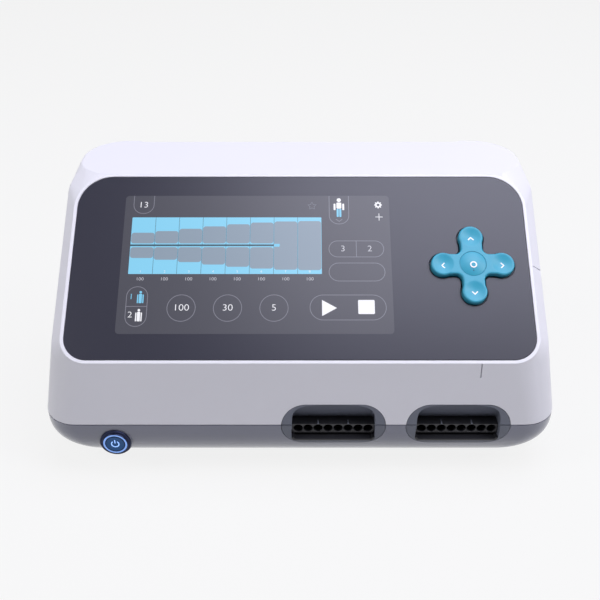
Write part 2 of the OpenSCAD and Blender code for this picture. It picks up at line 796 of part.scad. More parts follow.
module keypad_center_key() color(key_blue) at_pad() {
    dome_r = dish_sphere(center_r, center_dome_h);
    intersection() {
        translate([0, 0, -0.2]) cylinder(r = center_r, h = center_edge + center_dome_h + 0.2);
        translate([0, 0, center_edge + center_dome_h - dome_r]) sphere(r = dome_r, $fn = 144);
    }
    translate([0, 0, center_stem_low]) cylinder(r = center_stem_r, h = -0.2 - center_stem_low + eps);
}

// Two outer pins turn in the base, two inner pins carry the rocker's skirt
module keypad_gimbal() color([0.80, 0.80, 0.78]) at_pad() translate([0, 0, pivot_z]) {
    difference() {
        translate([0, 0, -gimbal_h / 2]) cylinder(r = gimbal_r, h = gimbal_h);
        translate([0, 0, -gimbal_h / 2 - eps]) cylinder(r = gimbal_in, h = gimbal_h + 2 * eps);
    }
    for (a = [0, 180]) rotate(a) {
        translate([gimbal_in + 0.4, 0, 0]) rotate([0, 90, 0])
            cylinder(r = pin_r, h = bearing_r - gimbal_in - 0.9);
        translate([0, skirt_in + 0.1, 0]) bar(pin_r, gimbal_in - skirt_in + 0.3);
    }
}

module keypad_base() color([0.75, 0.75, 0.77]) difference() {
    union() {
        at_pad() {
            translate([0, 0, ledge_z - base_t]) linear_extrude(base_t) rounded2d(base_side, base_side, 4);
            translate([0, 0, bearing_low]) cylinder(r = bearing_r, h = ledge_z - base_t - bearing_low + eps);
        }
        pad_post_places() translate([0, 0, membrane_z])
            cylinder(r = 3, h = ledge_z - base_t - membrane_z + eps);
    }
    at_pad() {
        translate([0, 0, bearing_low - eps]) cylinder(r = base_hole, h = ledge_z - bearing_low + 2 * eps);
        for (a = [0:90:270]) rotate(a) translate([plunger_x, 0, ledge_z - base_t - eps])
            cylinder(r = plunger_r + 1.1, h = base_t + 2 * eps);
        translate([-bearing_r - 1, 0, pivot_z]) rotate([0, 90, 0])
            cylinder(r = pin_r + run_gap, h = 2 * bearing_r + 2);
    }
    pad_post_places() translate([0, 0, membrane_z - eps])
        cylinder(r = pad_screw_r + screw_gap, h = ledge_z - membrane_z + 2 * eps);
}

// A sheet under the key pad, as large as its circuit board
module pad_sheet(z, t) translate([0, 0, z]) linear_extrude(t)
    rounded2d(pad_board_side, pad_board_side, 3);

module keypad_membrane() color([0.85, 0.86, 0.86]) difference() {
    at_pad() {
        pad_sheet(membrane_z - membrane_t, membrane_t);
        for (p = [[0, 0], [1, 0], [0, 1], [-1, 0], [0, -1]])
            translate([p[0] * plunger_x, p[1] * plunger_x, membrane_z - eps])
                cylinder(r = 3.5, h = dome_h + eps);
    }
    pad_post_places() translate([0, 0, membrane_z - membrane_t - eps])
        cylinder(r = pad_screw_r + screw_gap, h = membrane_t + 2 * eps);
}

module keypad_board() color(board_green) difference() {
    at_pad() pad_sheet(keyboard_z, board_t);
    pad_post_places() translate([0, 0, keyboard_z - eps])
        cylinder(r = pad_screw_r + screw_gap, h = board_t + 2 * eps);
}

module keypad_screws() color([0.75, 0.76, 0.78]) pad_post_places() {
    translate([0, 0, keyboard_z]) cylinder(r = pad_screw_r, h = pad_screw_top - keyboard_z - 0.3);
    translate([0, 0, keyboard_z - 1.4]) cylinder(r = 2.2, h = 1.4);
}

// ---------------------------------------------------------------- power switch

module at_switch() translate([-switch_x, y_front, z_switch]) children();

module power_switch_body() color([0.10, 0.12, 0.20]) at_switch() difference() {
    union() {
        translate([0, -switch_flange_t, 0]) bar(switch_flange_d / 2, switch_flange_t);
        translate([0, -switch_proud, 0]) bar(switch_rim, switch_proud);
        bar(switch_d / 2, switch_len);
        for (s = [-1, 1]) translate([s * 4 - 1.5, switch_len - eps, -0.4]) cube([3, 8 + eps, 0.8]);
    }
    translate([0, -switch_proud - eps, 0]) bar(switch_cap_d / 2 + run_gap, cap_len + switch_travel + 1 + eps);
    translate([0, -switch_proud - eps, 0]) difference() {
        bar(light_out, light_d + eps);
        translate([0, -eps, 0]) bar(light_in, light_d + 3 * eps);
    }
}

module power_switch_cap() color([0.14, 0.28, 0.55]) at_switch() translate([0, -switch_proud, 0])
    bar(switch_cap_d / 2, cap_len);

module power_light_ring() color([0.45, 0.65, 0.98]) at_switch() translate([0, -switch_proud, 0])
    pipe(light_out - 0.02, light_in + 0.02, light_d);

module power_switch_nut() color([0.72, 0.73, 0.75]) at_switch() translate([0, switch_boss_d, 0])
    rotate([-90, 0, 0]) difference() {
        cylinder(r = switch_d / 2 + 2, h = nut_t, $fn = 6);
        translate([0, 0, -eps]) cylinder(r = switch_d / 2 + screw_gap, h = nut_t + 2 * eps);
    }

// ---------------------------------------------------------------- air connectors

module port_bezel_upper(i) color(port_grey) difference() {
    intersection() {
        port_prism(i, 0, -2, port_depth);
        upper_form(0, z_part);
    }
    port_void(i);
}

module port_bezel_lower(i) color(port_grey) difference() {
    intersection() {
        port_prism(i, 0, -2, port_depth);
        lower_form(0, z_part);
    }
    port_void(i);
}

// Eight stepped bores: a wide one for the plug, then a nipple for the chamber hose
module port_block(i) color([0.13, 0.13, 0.15]) {
    difference() {
        union() {
            at_port(i) translate([0, block_set, 0]) facing_front(block_len) block2d(0);
            at_port(i) for (k = [-1.5, 1.5])
                translate([k * outlet_pitch - 0.4, block_set, -block_drop - eps]) cube([0.8, pip_len, eps + 0.7]);
            for (k = [0:outlets - 1])
                translate([port_x[i] + (k - (outlets - 1) / 2) * outlet_pitch, y_block_rear - eps, z_outlet])
                    bar(nipple_r, nipple_len + eps);
        }
        for (k = [0:outlets - 1])
            translate([port_x[i] + (k - (outlets - 1) / 2) * outlet_pitch, 0, z_outlet]) {
                translate([0, y_block - eps, 0]) bar(outlet_r, outlet_len + eps);
                translate([0, y_block + outlet_len - eps, 0])
                    bar(nipple_bore, block_len - outlet_len + nipple_len + 2 * eps);
            }
        at_port(i) translate([-block_w / 2 - 1, block_set - 1, -block_drop - block_h - 1])
            cube([block_w + 2, 3, block_h - 2 * outlet_drop]);
    }
    // The lip under the outlets, forward to the bezel
    at_port(i) translate([0, lip_in, 0]) facing_front(block_set + 2.5 - lip_in) difference() {
        block2d(0);
        translate([0, lip_t]) block2d(0);
    }
}

// ---------------------------------------------------------------- air system

module chamber_hoses(i) color([0.82, 0.84, 0.86]) for (k = [0:outlets - 1])
    translate([port_x[i] + (k - (outlets - 1) / 2) * outlet_pitch, y_block_rear, z_outlet])
        pipe(hose_r, nipple_r + run_gap, hose_len);

module manifold(i) color([0.62, 0.64, 0.67]) difference() {
    union() {
        translate([port_x[i], post_y, z_manifold]) {
            box_on(manifold_w, manifold_d, manifold_h);
            box_on(manifold_w + 2 * manifold_ear, 10, 4);
        }
        for (k = [0:outlets - 1])
            translate([port_x[i] + (k - (outlets - 1) / 2) * outlet_pitch, y_manifold - nipple_len, z_outlet])
                bar(nipple_r, nipple_len + eps);
        translate([port_x[i], y_manifold_rear - eps, z_outlet]) bar(feed_r, feed_len / 2 - 1 + eps);
    }
    for (k = [0:outlets - 1])
        translate([port_x[i] + (k - (outlets - 1) / 2) * outlet_pitch,
                y_manifold - nipple_len - eps, z_outlet])
            bar(nipple_bore, nipple_len + 10);
    translate([port_x[i] - manifold_w / 2 + 3, y_manifold_rear - 7, z_outlet]) rotate([0, 90, 0])
        cylinder(r = gallery_r, h = manifold_w - 6);
    translate([port_x[i], y_manifold_rear - 7, z_outlet]) bar(feed_bore, 7 + feed_len / 2);
    for (s = [-1, 1]) translate([port_x[i] + s * post_dx, post_y, z_manifold - eps])
        cylinder(r = small_screw_r + screw_gap, h = 4 + 2 * eps);
}

module manifold_screws() color([0.75, 0.76, 0.78]) manifold_post_places() {
    translate([0, 0, z_manifold - 9]) cylinder(r = small_screw_r, h = 13);
    translate([0, 0, z_manifold + 4]) cylinder(r = 2.4, h = 1.6);
}

module solenoid_valves(i) color([0.16, 0.17, 0.20])
    for (c = [0:valve_cols - 1], r = [0:valve_rows - 1])
        translate([port_x[i] + (c - (valve_cols - 1) / 2) * valve_dx,
                post_y + (r - (valve_rows - 1) / 2) * valve_dy, z_manifold + manifold_h]) {
            box_on(valve_w, valve_d, valve_h - 6);
            translate([0, 0, valve_h - 6 - eps]) cylinder(r = 3.6, h = 6 + eps);
            translate([0, valve_d / 2 - eps, valve_h - 10]) box_on(5, 2 * eps + 2, 3);
        }

module at_pump(i) translate([port_x[i], y_pump, z_pump]) children();

// Closed frame with a diaphragm chamber at each end and a guide bore for the rod in each partition
module pump_housing(i) color([0.55, 0.57, 0.60]) at_pump(i) difference() {
    translate([0, head_t + pump_len / 2, 0]) box_on(pump_w, pump_len, pump_h);
    cavity = pump_len - 2 * (chamber_d + partition_t);
    translate([0, head_t + pump_len / 2, pump_wall])
        box_on(pump_w - 2 * pump_wall, cavity, pump_h - 2 * pump_wall);
    translate([0, head_t - eps, pump_h / 2]) bar(chamber_r, chamber_d + eps);
    translate([0, head_t + pump_len - chamber_d, pump_h / 2]) bar(chamber_r, chamber_d + eps);
    translate([0, head_t, pump_h / 2]) bar(rod_r + run_gap, pump_len);
}

module pump_heads(i) color([0.20, 0.21, 0.24]) at_pump(i) {
    difference() {
        union() {
            translate([0, head_t / 2, 0]) box_on(pump_w, head_t, pump_h);
            translate([0, 1 - feed_len / 2, z_outlet - z_pump]) bar(feed_r, feed_len / 2);
        }
        translate([0, -feed_len, z_outlet - z_pump]) bar(feed_bore, feed_len + head_t + eps);
    }
    translate([0, head_t + pump_len, 0]) difference() {
        translate([0, head_t / 2, 0]) box_on(pump_w, head_t, pump_h);
        translate([0, -eps, pump_h / 2]) bar(intake_r, head_t + 2 * eps);
    }
}

module pump_coils(i) color([0.72, 0.42, 0.22]) at_pump(i) {
    coil_w = (pump_w - magnet_w) / 2 - pump_wall - coil_gap;
    for (s = [-1, 1])
        translate([s * (magnet_w / 2 + coil_gap + coil_w / 2), head_t + pump_len / 2, (pump_h - coil_h) / 2])
            box_on(coil_w, coil_len, coil_h);
}

module pump_armature(i) color([0.78, 0.79, 0.82]) at_pump(i) translate([0, head_t, pump_h / 2]) {
    inner = chamber_d / 2 - disc_t / 2;
    translate([0, inner, 0]) bar(disc_r, disc_t);
    translate([0, pump_len - inner - disc_t, 0]) bar(disc_r, disc_t);
    translate([0, inner, 0]) bar(rod_r, pump_len - 2 * inner);
    translate([0, pump_len / 2, -magnet_w / 2]) box_on(magnet_w, magnet_len, magnet_w);
}

module pump_feed_hoses() color([0.82, 0.84, 0.86]) for (x = port_x)
    translate([x, y_manifold_rear, z_outlet]) pipe(feed_hose_r, feed_r + run_gap, feed_len);

module pump_rubber_mounts() color([0.12, 0.12, 0.13])
    for (x = port_x, s = [-1, 1], y = [mount_in, pump_len - 2 * mount_in])
        translate([x + s * mount_dx, y_pump + y, z_floor]) cylinder(r = mount_r, h = mount_h);

module intake_filters() color([0.90, 0.90, 0.84]) for (x = port_x)
    translate([x, y_pump_rear, z_rod]) bar(filter_r, filter_t);

// ---------------------------------------------------------------- boards

module big_board(z, hole) difference() {
    translate([board_x, board_y, z]) box_on(board_w, board_d, board_t);
    board_post_places() translate([0, 0, z - eps]) cylinder(r = hole, h = board_t + 2 * eps);
}

module power_supply_board() color(board_green) big_board(z_board, board_hole_r);

module power_supply_components() color([0.22, 0.22, 0.24])
    translate([board_x, board_y, z_board + board_t]) {
        translate([transformer_x, transformer_y, 0]) box_on(transformer_w, transformer_d, transformer_h);
        for (x = [capacitor_x, capacitor_x + 2 * capacitor_r + part_gap])
            translate([x, board_d / 2 - part_in - capacitor_r + part_gap, 0])
                cylinder(r = capacitor_r, h = transformer_h + 2);
        translate([board_w / 2 - part_in - heat_sink_w / 2, transformer_y - 2 * part_gap, 0])
            box_on(heat_sink_w, heat_sink_t, transformer_h + 4);
        translate([transformer_x - 2 * part_gap, transformer_y + transformer_d / 2 + part_gap + capacitor_r, 0])
            difference() {
                cylinder(r = capacitor_r, h = 10);
                translate([0, 0, -eps]) cylinder(r = capacitor_r / 2, h = 10 + 2 * eps);
            }
    }

module board_standoffs() color([0.80, 0.68, 0.35]) board_post_places() difference() {
    union() {
        translate([0, 0, z_board - stud_len]) cylinder(r = stud_r, h = stud_len + board_t + eps);
        translate([0, 0, z_board + board_t]) cylinder(r = standoff_r, h = standoff_len, $fn = 6);
    }
    translate([0, 0, z_main - 9]) cylinder(r = board_hole_r, h = 9 + eps);
}

module main_board() color(board_green) big_board(z_main, board_hole_r);

module main_board_components() color([0.15, 0.15, 0.17])
    translate([board_x, board_y, z_main + board_t]) {
        box_on(processor_w, processor_w, 1.6);
        for (s = [-1, 1]) translate([s * (processor_w + chip_w - part_gap), part_gap, 0])
            box_on(chip_w, chip_w, 1.4);
        translate([part_in + capacitor_r + part_gap - board_w / 2, part_in - board_d / 2, 0])
            cylinder(r = capacitor_r - part_gap, h = 8);
        for (k = [-1:1]) translate([(k + 1 / 2) * (header_w + 2 * part_gap), header_d + 1 - board_d / 2, 0])
            box_on(header_w, header_d, 7);
    }

module pressure_sensors() color([0.88, 0.88, 0.86])
    for (c = [0:outlets - 1], r = [0, 1])
        translate([board_x + (c - (outlets - 1) / 2) * (sensor_w + part_gap),
                board_y + board_d / 2 - sensor_w - (1 - r) * (sensor_w + part_gap + 1), z_main + board_t]) {
            box_on(sensor_w, sensor_w, 3.5);
            translate([0, 0, 3.5 - eps]) cylinder(r = 1.2, h = 4 + eps);
        }

module board_screws() color([0.75, 0.76, 0.78]) board_post_places() {
    translate([0, 0, z_main - 7]) cylinder(r = stud_r, h = 7 + board_t);
    translate([0, 0, z_main + board_t]) cylinder(r = screw_head_r, h = screw_head_t);
}

// ---------------------------------------------------------------- rear panel

module rear_panel() color([0.36, 0.37, 0.40]) difference() {
    translate([0, y_recess, z_rear_mid]) facing_front(rear_t) rounded2d(2 * rear_hw, rear_h, 3);
    translate([-inlet_x, y_recess - eps, z_inlet]) facing_front(rear_t + 2 * eps)
        square([inlet_w + 0.4, inlet_h + 0.4], center = true);
    // Fan slots inside a round outline
    translate([fan_x, y_recess - eps, z_fan]) facing_front(rear_t + 2 * eps) intersection() {
        circle(r = fan_hole - 1);
        for (k = [-4:4]) translate([k * 4, 0]) square([2.4, 2 * fan_hole], center = true);
    }
    for (k = [-3:3]) translate([k * vent_gap - vent_w / 2, y_recess - eps, z_rear_mid - 20])
        cube([vent_w, rear_t + 2 * eps, 40]);
    rear_screw_places() translate([0, -eps, 0]) bar(rear_screw_r + screw_gap, rear_t + 2 * eps);
}

module rear_panel_screws() color([0.75, 0.76, 0.78]) rear_screw_places() {
    translate([0, -wall - 3.5, 0]) bar(rear_screw_r, wall + 3.5 + rear_t);
    translate([0, rear_t, 0]) bar(screw_head_r, 1.2);
}

module fan_frame() color([0.12, 0.12, 0.13]) translate([fan_x, y_fan, z_fan]) {
    difference() {
        facing_front(fan_t) rounded2d(fan_w, fan_w, 3);
        translate([0, fan_plate_t, 0]) bar(fan_hole, fan_t);
        translate([0, -eps, 0]) bar(fan_hole, fan_plate_t + 2 * eps);
        for (sx = [-1, 1], sz = [-1, 1])
            translate([sx * (fan_w / 2 - 4), -eps, sz * (fan_w / 2 - 4)]) bar(1.6, fan_t + 2 * eps);
    }
    bar(fan_hub_r, fan_plate_t);
    for (a = [45:90:315]) rotate([0, a, 0]) translate([fan_hub_r - 1, 0, -1])
        cube([fan_hole - fan_hub_r + 1.5, fan_plate_t, 2]);
    bar(fan_pin_r, fan_t - 2);
}

module fan_rotor() color([0.16, 0.16, 0.18]) translate([fan_x, y_fan + fan_plate_t + 0.4, z_fan]) {
    depth = fan_t - fan_plate_t - 1;
    difference() {
        bar(fan_hub_r, depth);
        translate([0, -eps, 0]) bar(fan_pin_r + run_gap, depth - 1 + eps);
    }
    for (k = [0:blades - 1]) rotate([0, k * 360 / blades, 0]) intersection() {
        translate([fan_hub_r - 0.6, depth / 2, 0]) rotate([40, 0, 0])
            translate([0, -6, -0.6]) cube([blade_tip - fan_hub_r + 0.6, 12, 1.2]);
        bar(blade_tip, depth);
    }
}

// The socket has two cut lower corners; the drawer slides in the box above it
module mains_inlet() color([0.10, 0.10, 0.11]) difference() {
    union() {
        translate([-inlet_x, y_recess + rear_t, z_inlet]) facing_front(flange_t)
            rounded2d(flange_w, flange_h, 2);
        translate([-inlet_x, y_flange - inlet_depth, z_inlet]) facing_front(inlet_depth)
            square([inlet_w, inlet_h], center = true);
    }
    translate([-inlet_x, y_flange - socket_d, socket_z]) facing_front(socket_d + eps) polygon([
        [-socket_w / 2, socket_h / 2], [socket_w / 2, socket_h / 2],
        [socket_w / 2, socket_cut - socket_h / 2], [socket_w / 2 - socket_cut, -socket_h / 2],
        [socket_cut - socket_w / 2, -socket_h / 2], [-socket_w / 2, socket_cut - socket_h / 2]]);
    translate([-inlet_x, y_flange - drawer_d - drawer_gap, drawer_z])
        facing_front(drawer_d + drawer_gap + eps)
            square([drawer_w + 2 * drawer_gap, drawer_h + 2 * drawer_gap], center = true);
    inlet_contact_places() translate([0, -inlet_depth + socket_d - eps, 0])
        facing_front(inlet_depth - socket_d + 2 * eps) square([blade_w, blade_h], center = true);
}

module inlet_contact_places() for (p = [[-blade_dx, 0], [0, 2.5], [blade_dx, 0]])
    translate([-inlet_x + p[0], y_flange - socket_d, socket_z + p[1]]) children();

module inlet_contacts() color([0.80, 0.80, 0.76]) inlet_contact_places()
    translate([0, socket_d - inlet_depth - 7, 0]) facing_front(inlet_depth - socket_d + 7 + socket_d - 2)
        square([blade_w, blade_h], center = true);

module fuse_drawer() color([0.12, 0.12, 0.13]) translate([-inlet_x, y_flange - drawer_d, drawer_z]) {
    difference() {
        facing_front(drawer_d) square([drawer_w, drawer_h], center = true);
        for (y = [5, 13]) translate([-fuse_len / 2 - 0.2, y, 0.5]) {
            rotate([0, 90, 0]) cylinder(r = fuse_r + 0.05, h = fuse_len + 0.4);
            translate([0, -fuse_r - 0.05, 0]) cube([fuse_len + 0.4, 2 * fuse_r + 0.1, drawer_h]);
        }
    }
    translate([0, drawer_d, drawer_h / 2 - 2.5]) box_on(10, 2 * eps, 1.6);
}

module fuses() color([0.80, 0.82, 0.84]) translate([-inlet_x, y_flange - drawer_d, drawer_z])
    for (y = [5, 13]) translate([-fuse_len / 2, y, 0.5]) rotate([0, 90, 0])
        cylinder(r = fuse_r, h = fuse_len);

upper_casing();
lower_casing();
front_glass();
glass_gasket();
display_module();
display_bracket();
display_screws();
keypad_cross();
keypad_center_key();
keypad_gimbal();
keypad_base();
keypad_membrane();
keypad_board();
keypad_screws();
power_switch_body();
power_switch_cap();
power_light_ring();
power_switch_nut();
port_bezel_upper(0);  // left_port_bezel_upper
port_bezel_lower(0);  // left_port_bezel_lower
port_bezel_upper(1);  // right_port_bezel_upper
port_bezel_lower(1);  // right_port_bezel_lower
port_block(0);  // left_port_block
port_block(1);  // right_port_block
manifold(0);  // left_manifold
manifold(1);  // right_manifold
solenoid_valves(0);  // left_solenoid_valves
solenoid_valves(1);  // right_solenoid_valves
chamber_hoses(0);  // left_chamber_hoses
chamber_hoses(1);  // right_chamber_hoses
manifold_screws();
pump_housing(0);  // left_pump_housing
pump_housing(1);  // right_pump_housing
pump_heads(0);  // left_pump_heads
pump_heads(1);  // right_pump_heads
pump_coils(0);  // left_pump_coils
pump_coils(1);  // right_pump_coils
pump_armature(0);  // left_pump_armature
pump_armature(1);  // right_pump_armature
pump_feed_hoses();
pump_rubber_mounts();
intake_filters();
power_supply_board();
power_supply_components();
board_standoffs();
main_board();
main_board_components();
pressure_sensors();
board_screws();
rear_panel();
rear_panel_screws();
fan_frame();
fan_rotor();
mains_inlet();
inlet_contacts();
fuse_drawer();
fuses();
rubber_feet();
casing_screws();
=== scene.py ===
import bmesh
import bpy
import numpy as np
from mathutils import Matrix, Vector


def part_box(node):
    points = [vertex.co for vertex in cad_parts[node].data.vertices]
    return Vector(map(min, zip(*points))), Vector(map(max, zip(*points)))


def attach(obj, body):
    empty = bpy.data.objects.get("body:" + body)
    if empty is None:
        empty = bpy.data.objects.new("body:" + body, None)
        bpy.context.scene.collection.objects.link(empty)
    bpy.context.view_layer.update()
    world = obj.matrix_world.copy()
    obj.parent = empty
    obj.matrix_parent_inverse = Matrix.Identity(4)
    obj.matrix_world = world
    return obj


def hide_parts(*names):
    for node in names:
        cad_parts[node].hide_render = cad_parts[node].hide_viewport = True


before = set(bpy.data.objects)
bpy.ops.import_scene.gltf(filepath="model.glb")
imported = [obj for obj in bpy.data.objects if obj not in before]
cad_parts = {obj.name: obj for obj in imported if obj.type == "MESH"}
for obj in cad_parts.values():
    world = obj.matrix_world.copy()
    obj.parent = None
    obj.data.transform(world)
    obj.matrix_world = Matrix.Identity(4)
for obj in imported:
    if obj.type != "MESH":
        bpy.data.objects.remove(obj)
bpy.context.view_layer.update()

MM = 0.001

# ---------------------------------------------------------------- upper casing
# The white top shell of the pump: one injection moulding in satin ABS, with a bevel and a raised rim
# round the tilted glass and a level shelf behind it. It is screwed to the lower casing from below.

TILT = np.radians(35.6)
WALL = 2.6
BEVEL_WIDE, BEVEL_DROP = 6.3, 5.9      # along the panel and square to it
RIM = 2.2                              # flat of the rim round the glass
GLASS_LOW_R, GLASS_TOP_R = 13.5, 20.0
GLASS_POCKET, GLASS_GAP = 2.1, 0.15
FRONT_LEAN, SIDE_LEAN, REAR_LEAN = 5.0, 7.3, 2.7
FRONT_WALL = 28.6
CORNER_FRONT, CORNER_REAR = 20.0, 30.0
GLASS_L = 113.56
SHELF_R, SHELF_IN = 26.0, 3.5
RECESS_DEEP, RECESS_HW, RECESS_RUN, RECESS_UP = 3.9, 100.0, 9.0, 5.0
REAR_OPENING = (86.0, 52.0, 126.0)     # half width, lower and upper edge behind the rear panel
UPPER_FILLETS = (0.15, 1.5, 0.35, 2.4)  # at the parting line, the bevel, the rim and the shelf

low, high = (np.array(c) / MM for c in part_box("upper_casing"))
HALF_W, FRONT, REAR, PARTING, TOP = high[0], low[1], high[1], low[2], high[2]
SEAM = PARTING - 0.7                   # where the two casings are seen to meet, over a shadow gap
BAND_HW = HALF_W - SIDE_LEAN
RIM_HW = BAND_HW - BEVEL_WIDE
GLASS_HW = RIM_HW - RIM
UP_SLOPE = np.array([0, np.cos(TILT), np.sin(TILT)])
OUT_OF_PANEL = np.array([0, -np.sin(TILT), np.cos(TILT)])
PANEL_FOOT = (np.array([0, FRONT + FRONT_LEAN, PARTING + FRONT_WALL])
              + (BEVEL_WIDE + RIM) * UP_SLOPE + BEVEL_DROP * OUT_OF_PANEL)
SHELF_FRONT = PANEL_FOOT[1] + (GLASS_L + RIM) * np.cos(TILT)


def to_linear(code):
    """Turns an sRGB hex code to linear RGBA: c / 12.92 up to 0.04045, ((c + 0.055) / 1.055) ^ 2.4 above."""
    c = np.array([int(code[i:i + 2], 16) for i in (0, 2, 4)]) / 255
    return (*np.where(c <= 0.04045, c / 12.92, ((c + 0.055) / 1.055) ** 2.4), 1.0)


def add(tree, kind, inputs=None, **settings):
    """Adds a node: an input is linked where its value is a socket, and set where it is a constant."""
    node = tree.nodes.new(kind)
    for name, value in settings.items():
        setattr(node, name, value)
    for name, value in (inputs or {}).items():
        if isinstance(value, bpy.types.NodeSocket):
            tree.links.new(value, node.inputs[name])
        else:
            node.inputs[name].default_value = value
    return node


def finish(name, colour, rough, shade=0.06, cloud=25.0, grain=0.5, depth=0.006, spread=0.06, stretch=None,
           **sockets):
    """A finish: tone clouds `cloud` mm wide, a spread of roughness, and grains `grain` mm wide, `depth` high."""
    material = bpy.data.materials.new(name)
    material.use_nodes = True
    tree = material.node_tree
    shader = tree.nodes["Principled BSDF"]
    place = add(tree, "ShaderNodeTexCoord").outputs["Object"]
    if stretch:
        place = add(tree, "ShaderNodeMapping", {"Vector": place, "Scale": stretch}).outputs["Vector"]
    clouds = add(tree, "ShaderNodeTexNoise", {"Vector": place, "Scale": 1 / (cloud * MM), "Detail": 3.0})
    grains = add(tree, "ShaderNodeTexNoise", {"Vector": place, "Scale": 1 / (grain * MM), "Detail": 2.0})
    light = to_linear(colour)
    dark = (*(c * (1 - shade) for c in light[:3]), 1.0)
    tone = add(tree, "ShaderNodeMix", {0: clouds.outputs["Fac"], 6: dark, 7: light}, data_type="RGBA")
    tree.links.new(tone.outputs[2], shader.inputs["Base Color"])
    gloss = add(tree, "ShaderNodeMapRange", {"Value": clouds.outputs["Fac"], "To Min": rough - spread / 2,
                                             "To Max": rough + spread / 2})
    tree.links.new(gloss.outputs["Result"], shader.inputs["Roughness"])
    bump = add(tree, "ShaderNodeBump", {"Height": grains.outputs["Fac"], "Distance": depth * MM})
    tree.links.new(bump.outputs["Normal"], shader.inputs["Normal"])
    for socket, value in sockets.items():
        shader.inputs[socket.replace("_", " ")].default_value = value
    return material


def polar(r, a):
    """Points at the distance r and the angle a: (r cos a, r sin a)."""
    return np.column_stack([r * np.cos(a), r * np.sin(a)])


def corner(x, y, r, start, steps):
    """A quarter circle round a centre, over 90 degrees from start."""
    return polar(r, np.radians(start + np.linspace(0, 90, steps))) + [x, y]


def outline(half_w, front, rear, r_front, r_rear, steps=20):
    """A rounded rectangle, anticlockwise from the rear right: four quarter circles with straights between."""
    return np.concatenate([
        corner(half_w - r_rear, rear - r_rear, r_rear, 0, steps),
        corner(r_rear - half_w, rear - r_rear, r_rear, 90, steps),
        corner(r_front - half_w, front + r_front, r_front, 180, steps),
        corner(half_w - r_front, front + r_front, r_front, 270, steps)])


def at_height(flat, z):
    """Gives the points of an outline their height, one for all or one each."""
    return np.column_stack([flat, np.broadcast_to(z, len(flat))])


def on_panel(points):
    """Panel frame (x, up the slope, out of the glass) to the object's: turned by the tilt and moved."""
    return PANEL_FOOT + points[:, :1] * [1, 0, 0] + points[:, 1:2] * UP_SLOPE + points[:, 2:] * OUT_OF_PANEL


def rounded_edge(ring, radius, first=-90, last=90, steps=13):
    """Points round an edge: inset by r (1 - cos a), at height r sin a - r, for a from first to last."""
    return np.concatenate([at_height(ring(radius * (1 - np.cos(a))), radius * (np.sin(a) - 1))
                           for a in np.radians(np.linspace(first, last, steps))])


def placed(name, data):
    """Makes an object and links it to the scene."""
    thing = bpy.data.objects.new(name, data)
    bpy.context.scene.collection.objects.link(thing)
    return thing


def mesh_piece(name, points, faces):
    """Makes a piece in metres from points in millimetres and lists of corners."""
    mesh = bpy.data.meshes.new(name)
    mesh.from_pydata((np.asarray(points) * MM).tolist(), [], [[int(k) for k in face] for face in faces])
    return placed(name, mesh)


def hull_piece(name, points):
    """The convex hull of a cloud of points, with its flat areas joined to single faces."""
    form = bmesh.new()
    for point in points * MM:
        form.verts.new(point)
    bmesh.ops.remove_doubles(form, verts=form.verts, dist=0.01 * MM)
    bmesh.ops.convex_hull(form, input=form.verts)
    bmesh.ops.delete(form, geom=[v for v in form.verts if not v.link_faces], context="VERTS")
    bmesh.ops.dissolve_limit(form, angle_limit=np.radians(0.3), verts=form.verts, edges=form.edges)
    bmesh.ops.recalc_face_normals(form, faces=form.faces)
    mesh = bpy.data.meshes.new(name)
    form.to_mesh(mesh)
    form.free()
    return placed(name, mesh)


def skin(rows, columns, start=0, ends=True):
    """Quads between neighbouring loops of a stack, with a face at each end or closed to the first loop."""
    k = np.arange(columns)
    beside = (k + 1) % columns
    r = np.arange(rows - 1 if ends else rows)[:, None]
    above = (r + 1) % rows * columns
    r = r * columns
    quads = start + np.stack([r + k, r + beside, above + beside, above + k], axis=-1).reshape(-1, 4)
    last = start + (rows - 1) * columns
    caps = [range(start + columns - 1, start - 1, -1), range(last, last + columns)]
    return [*quads.tolist(), *(caps if ends else [])]


def loft(name, rings):
    """A closed form through loops of points: quads between neighbouring loops and a flat face at each end."""
    rings = np.asarray(rings)
    return mesh_piece(name, rings.reshape(-1, 3), skin(*rings.shape[:2]))


def carve(piece, cutter, how="DIFFERENCE"):
    """Cuts the cutter out of the piece, joins it, or keeps what both hold; the cutter is used up."""
    tool = piece.modifiers.new("carve", "BOOLEAN")
    tool.operation, tool.object, tool.solver = how, cutter, "EXACT"
    carved = bpy.data.meshes.new_from_object(piece.evaluated_get(bpy.context.evaluated_depsgraph_get()))
    piece.modifiers.clear()
    piece.data = carved
    bpy.data.objects.remove(cutter)


def dress(piece, material, edge_angle=32):
    """Smooth shading, sharp edges past an angle, normals weighted by area so flats stay flat, and a finish."""
    piece.data.shade_smooth()
    piece.data.set_sharp_from_angle(angle=np.radians(edge_angle))
    weighted = piece.modifiers.new("even_normals", "WEIGHTED_NORMAL")
    weighted.keep_sharp = True
    piece.data.materials.clear()
    piece.data.materials.append(material)


def coat(node, material):
    """Gives a node of the frame its finish in place of its plain slot colour."""
    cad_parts[node].data.materials.clear()
    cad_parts[node].data.materials.append(material)


def soften(node, width):
    """Breaks the straight edges of a node of the frame with a small bevel."""
    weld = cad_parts[node].modifiers.new("weld", "WELD")
    weld.merge_threshold = 0.002 * MM
    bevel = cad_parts[node].modifiers.new("bevel", "BEVEL")
    bevel.width, bevel.segments = width * MM, 2
    bevel.limit_method, bevel.angle_limit = "ANGLE", np.radians(40)


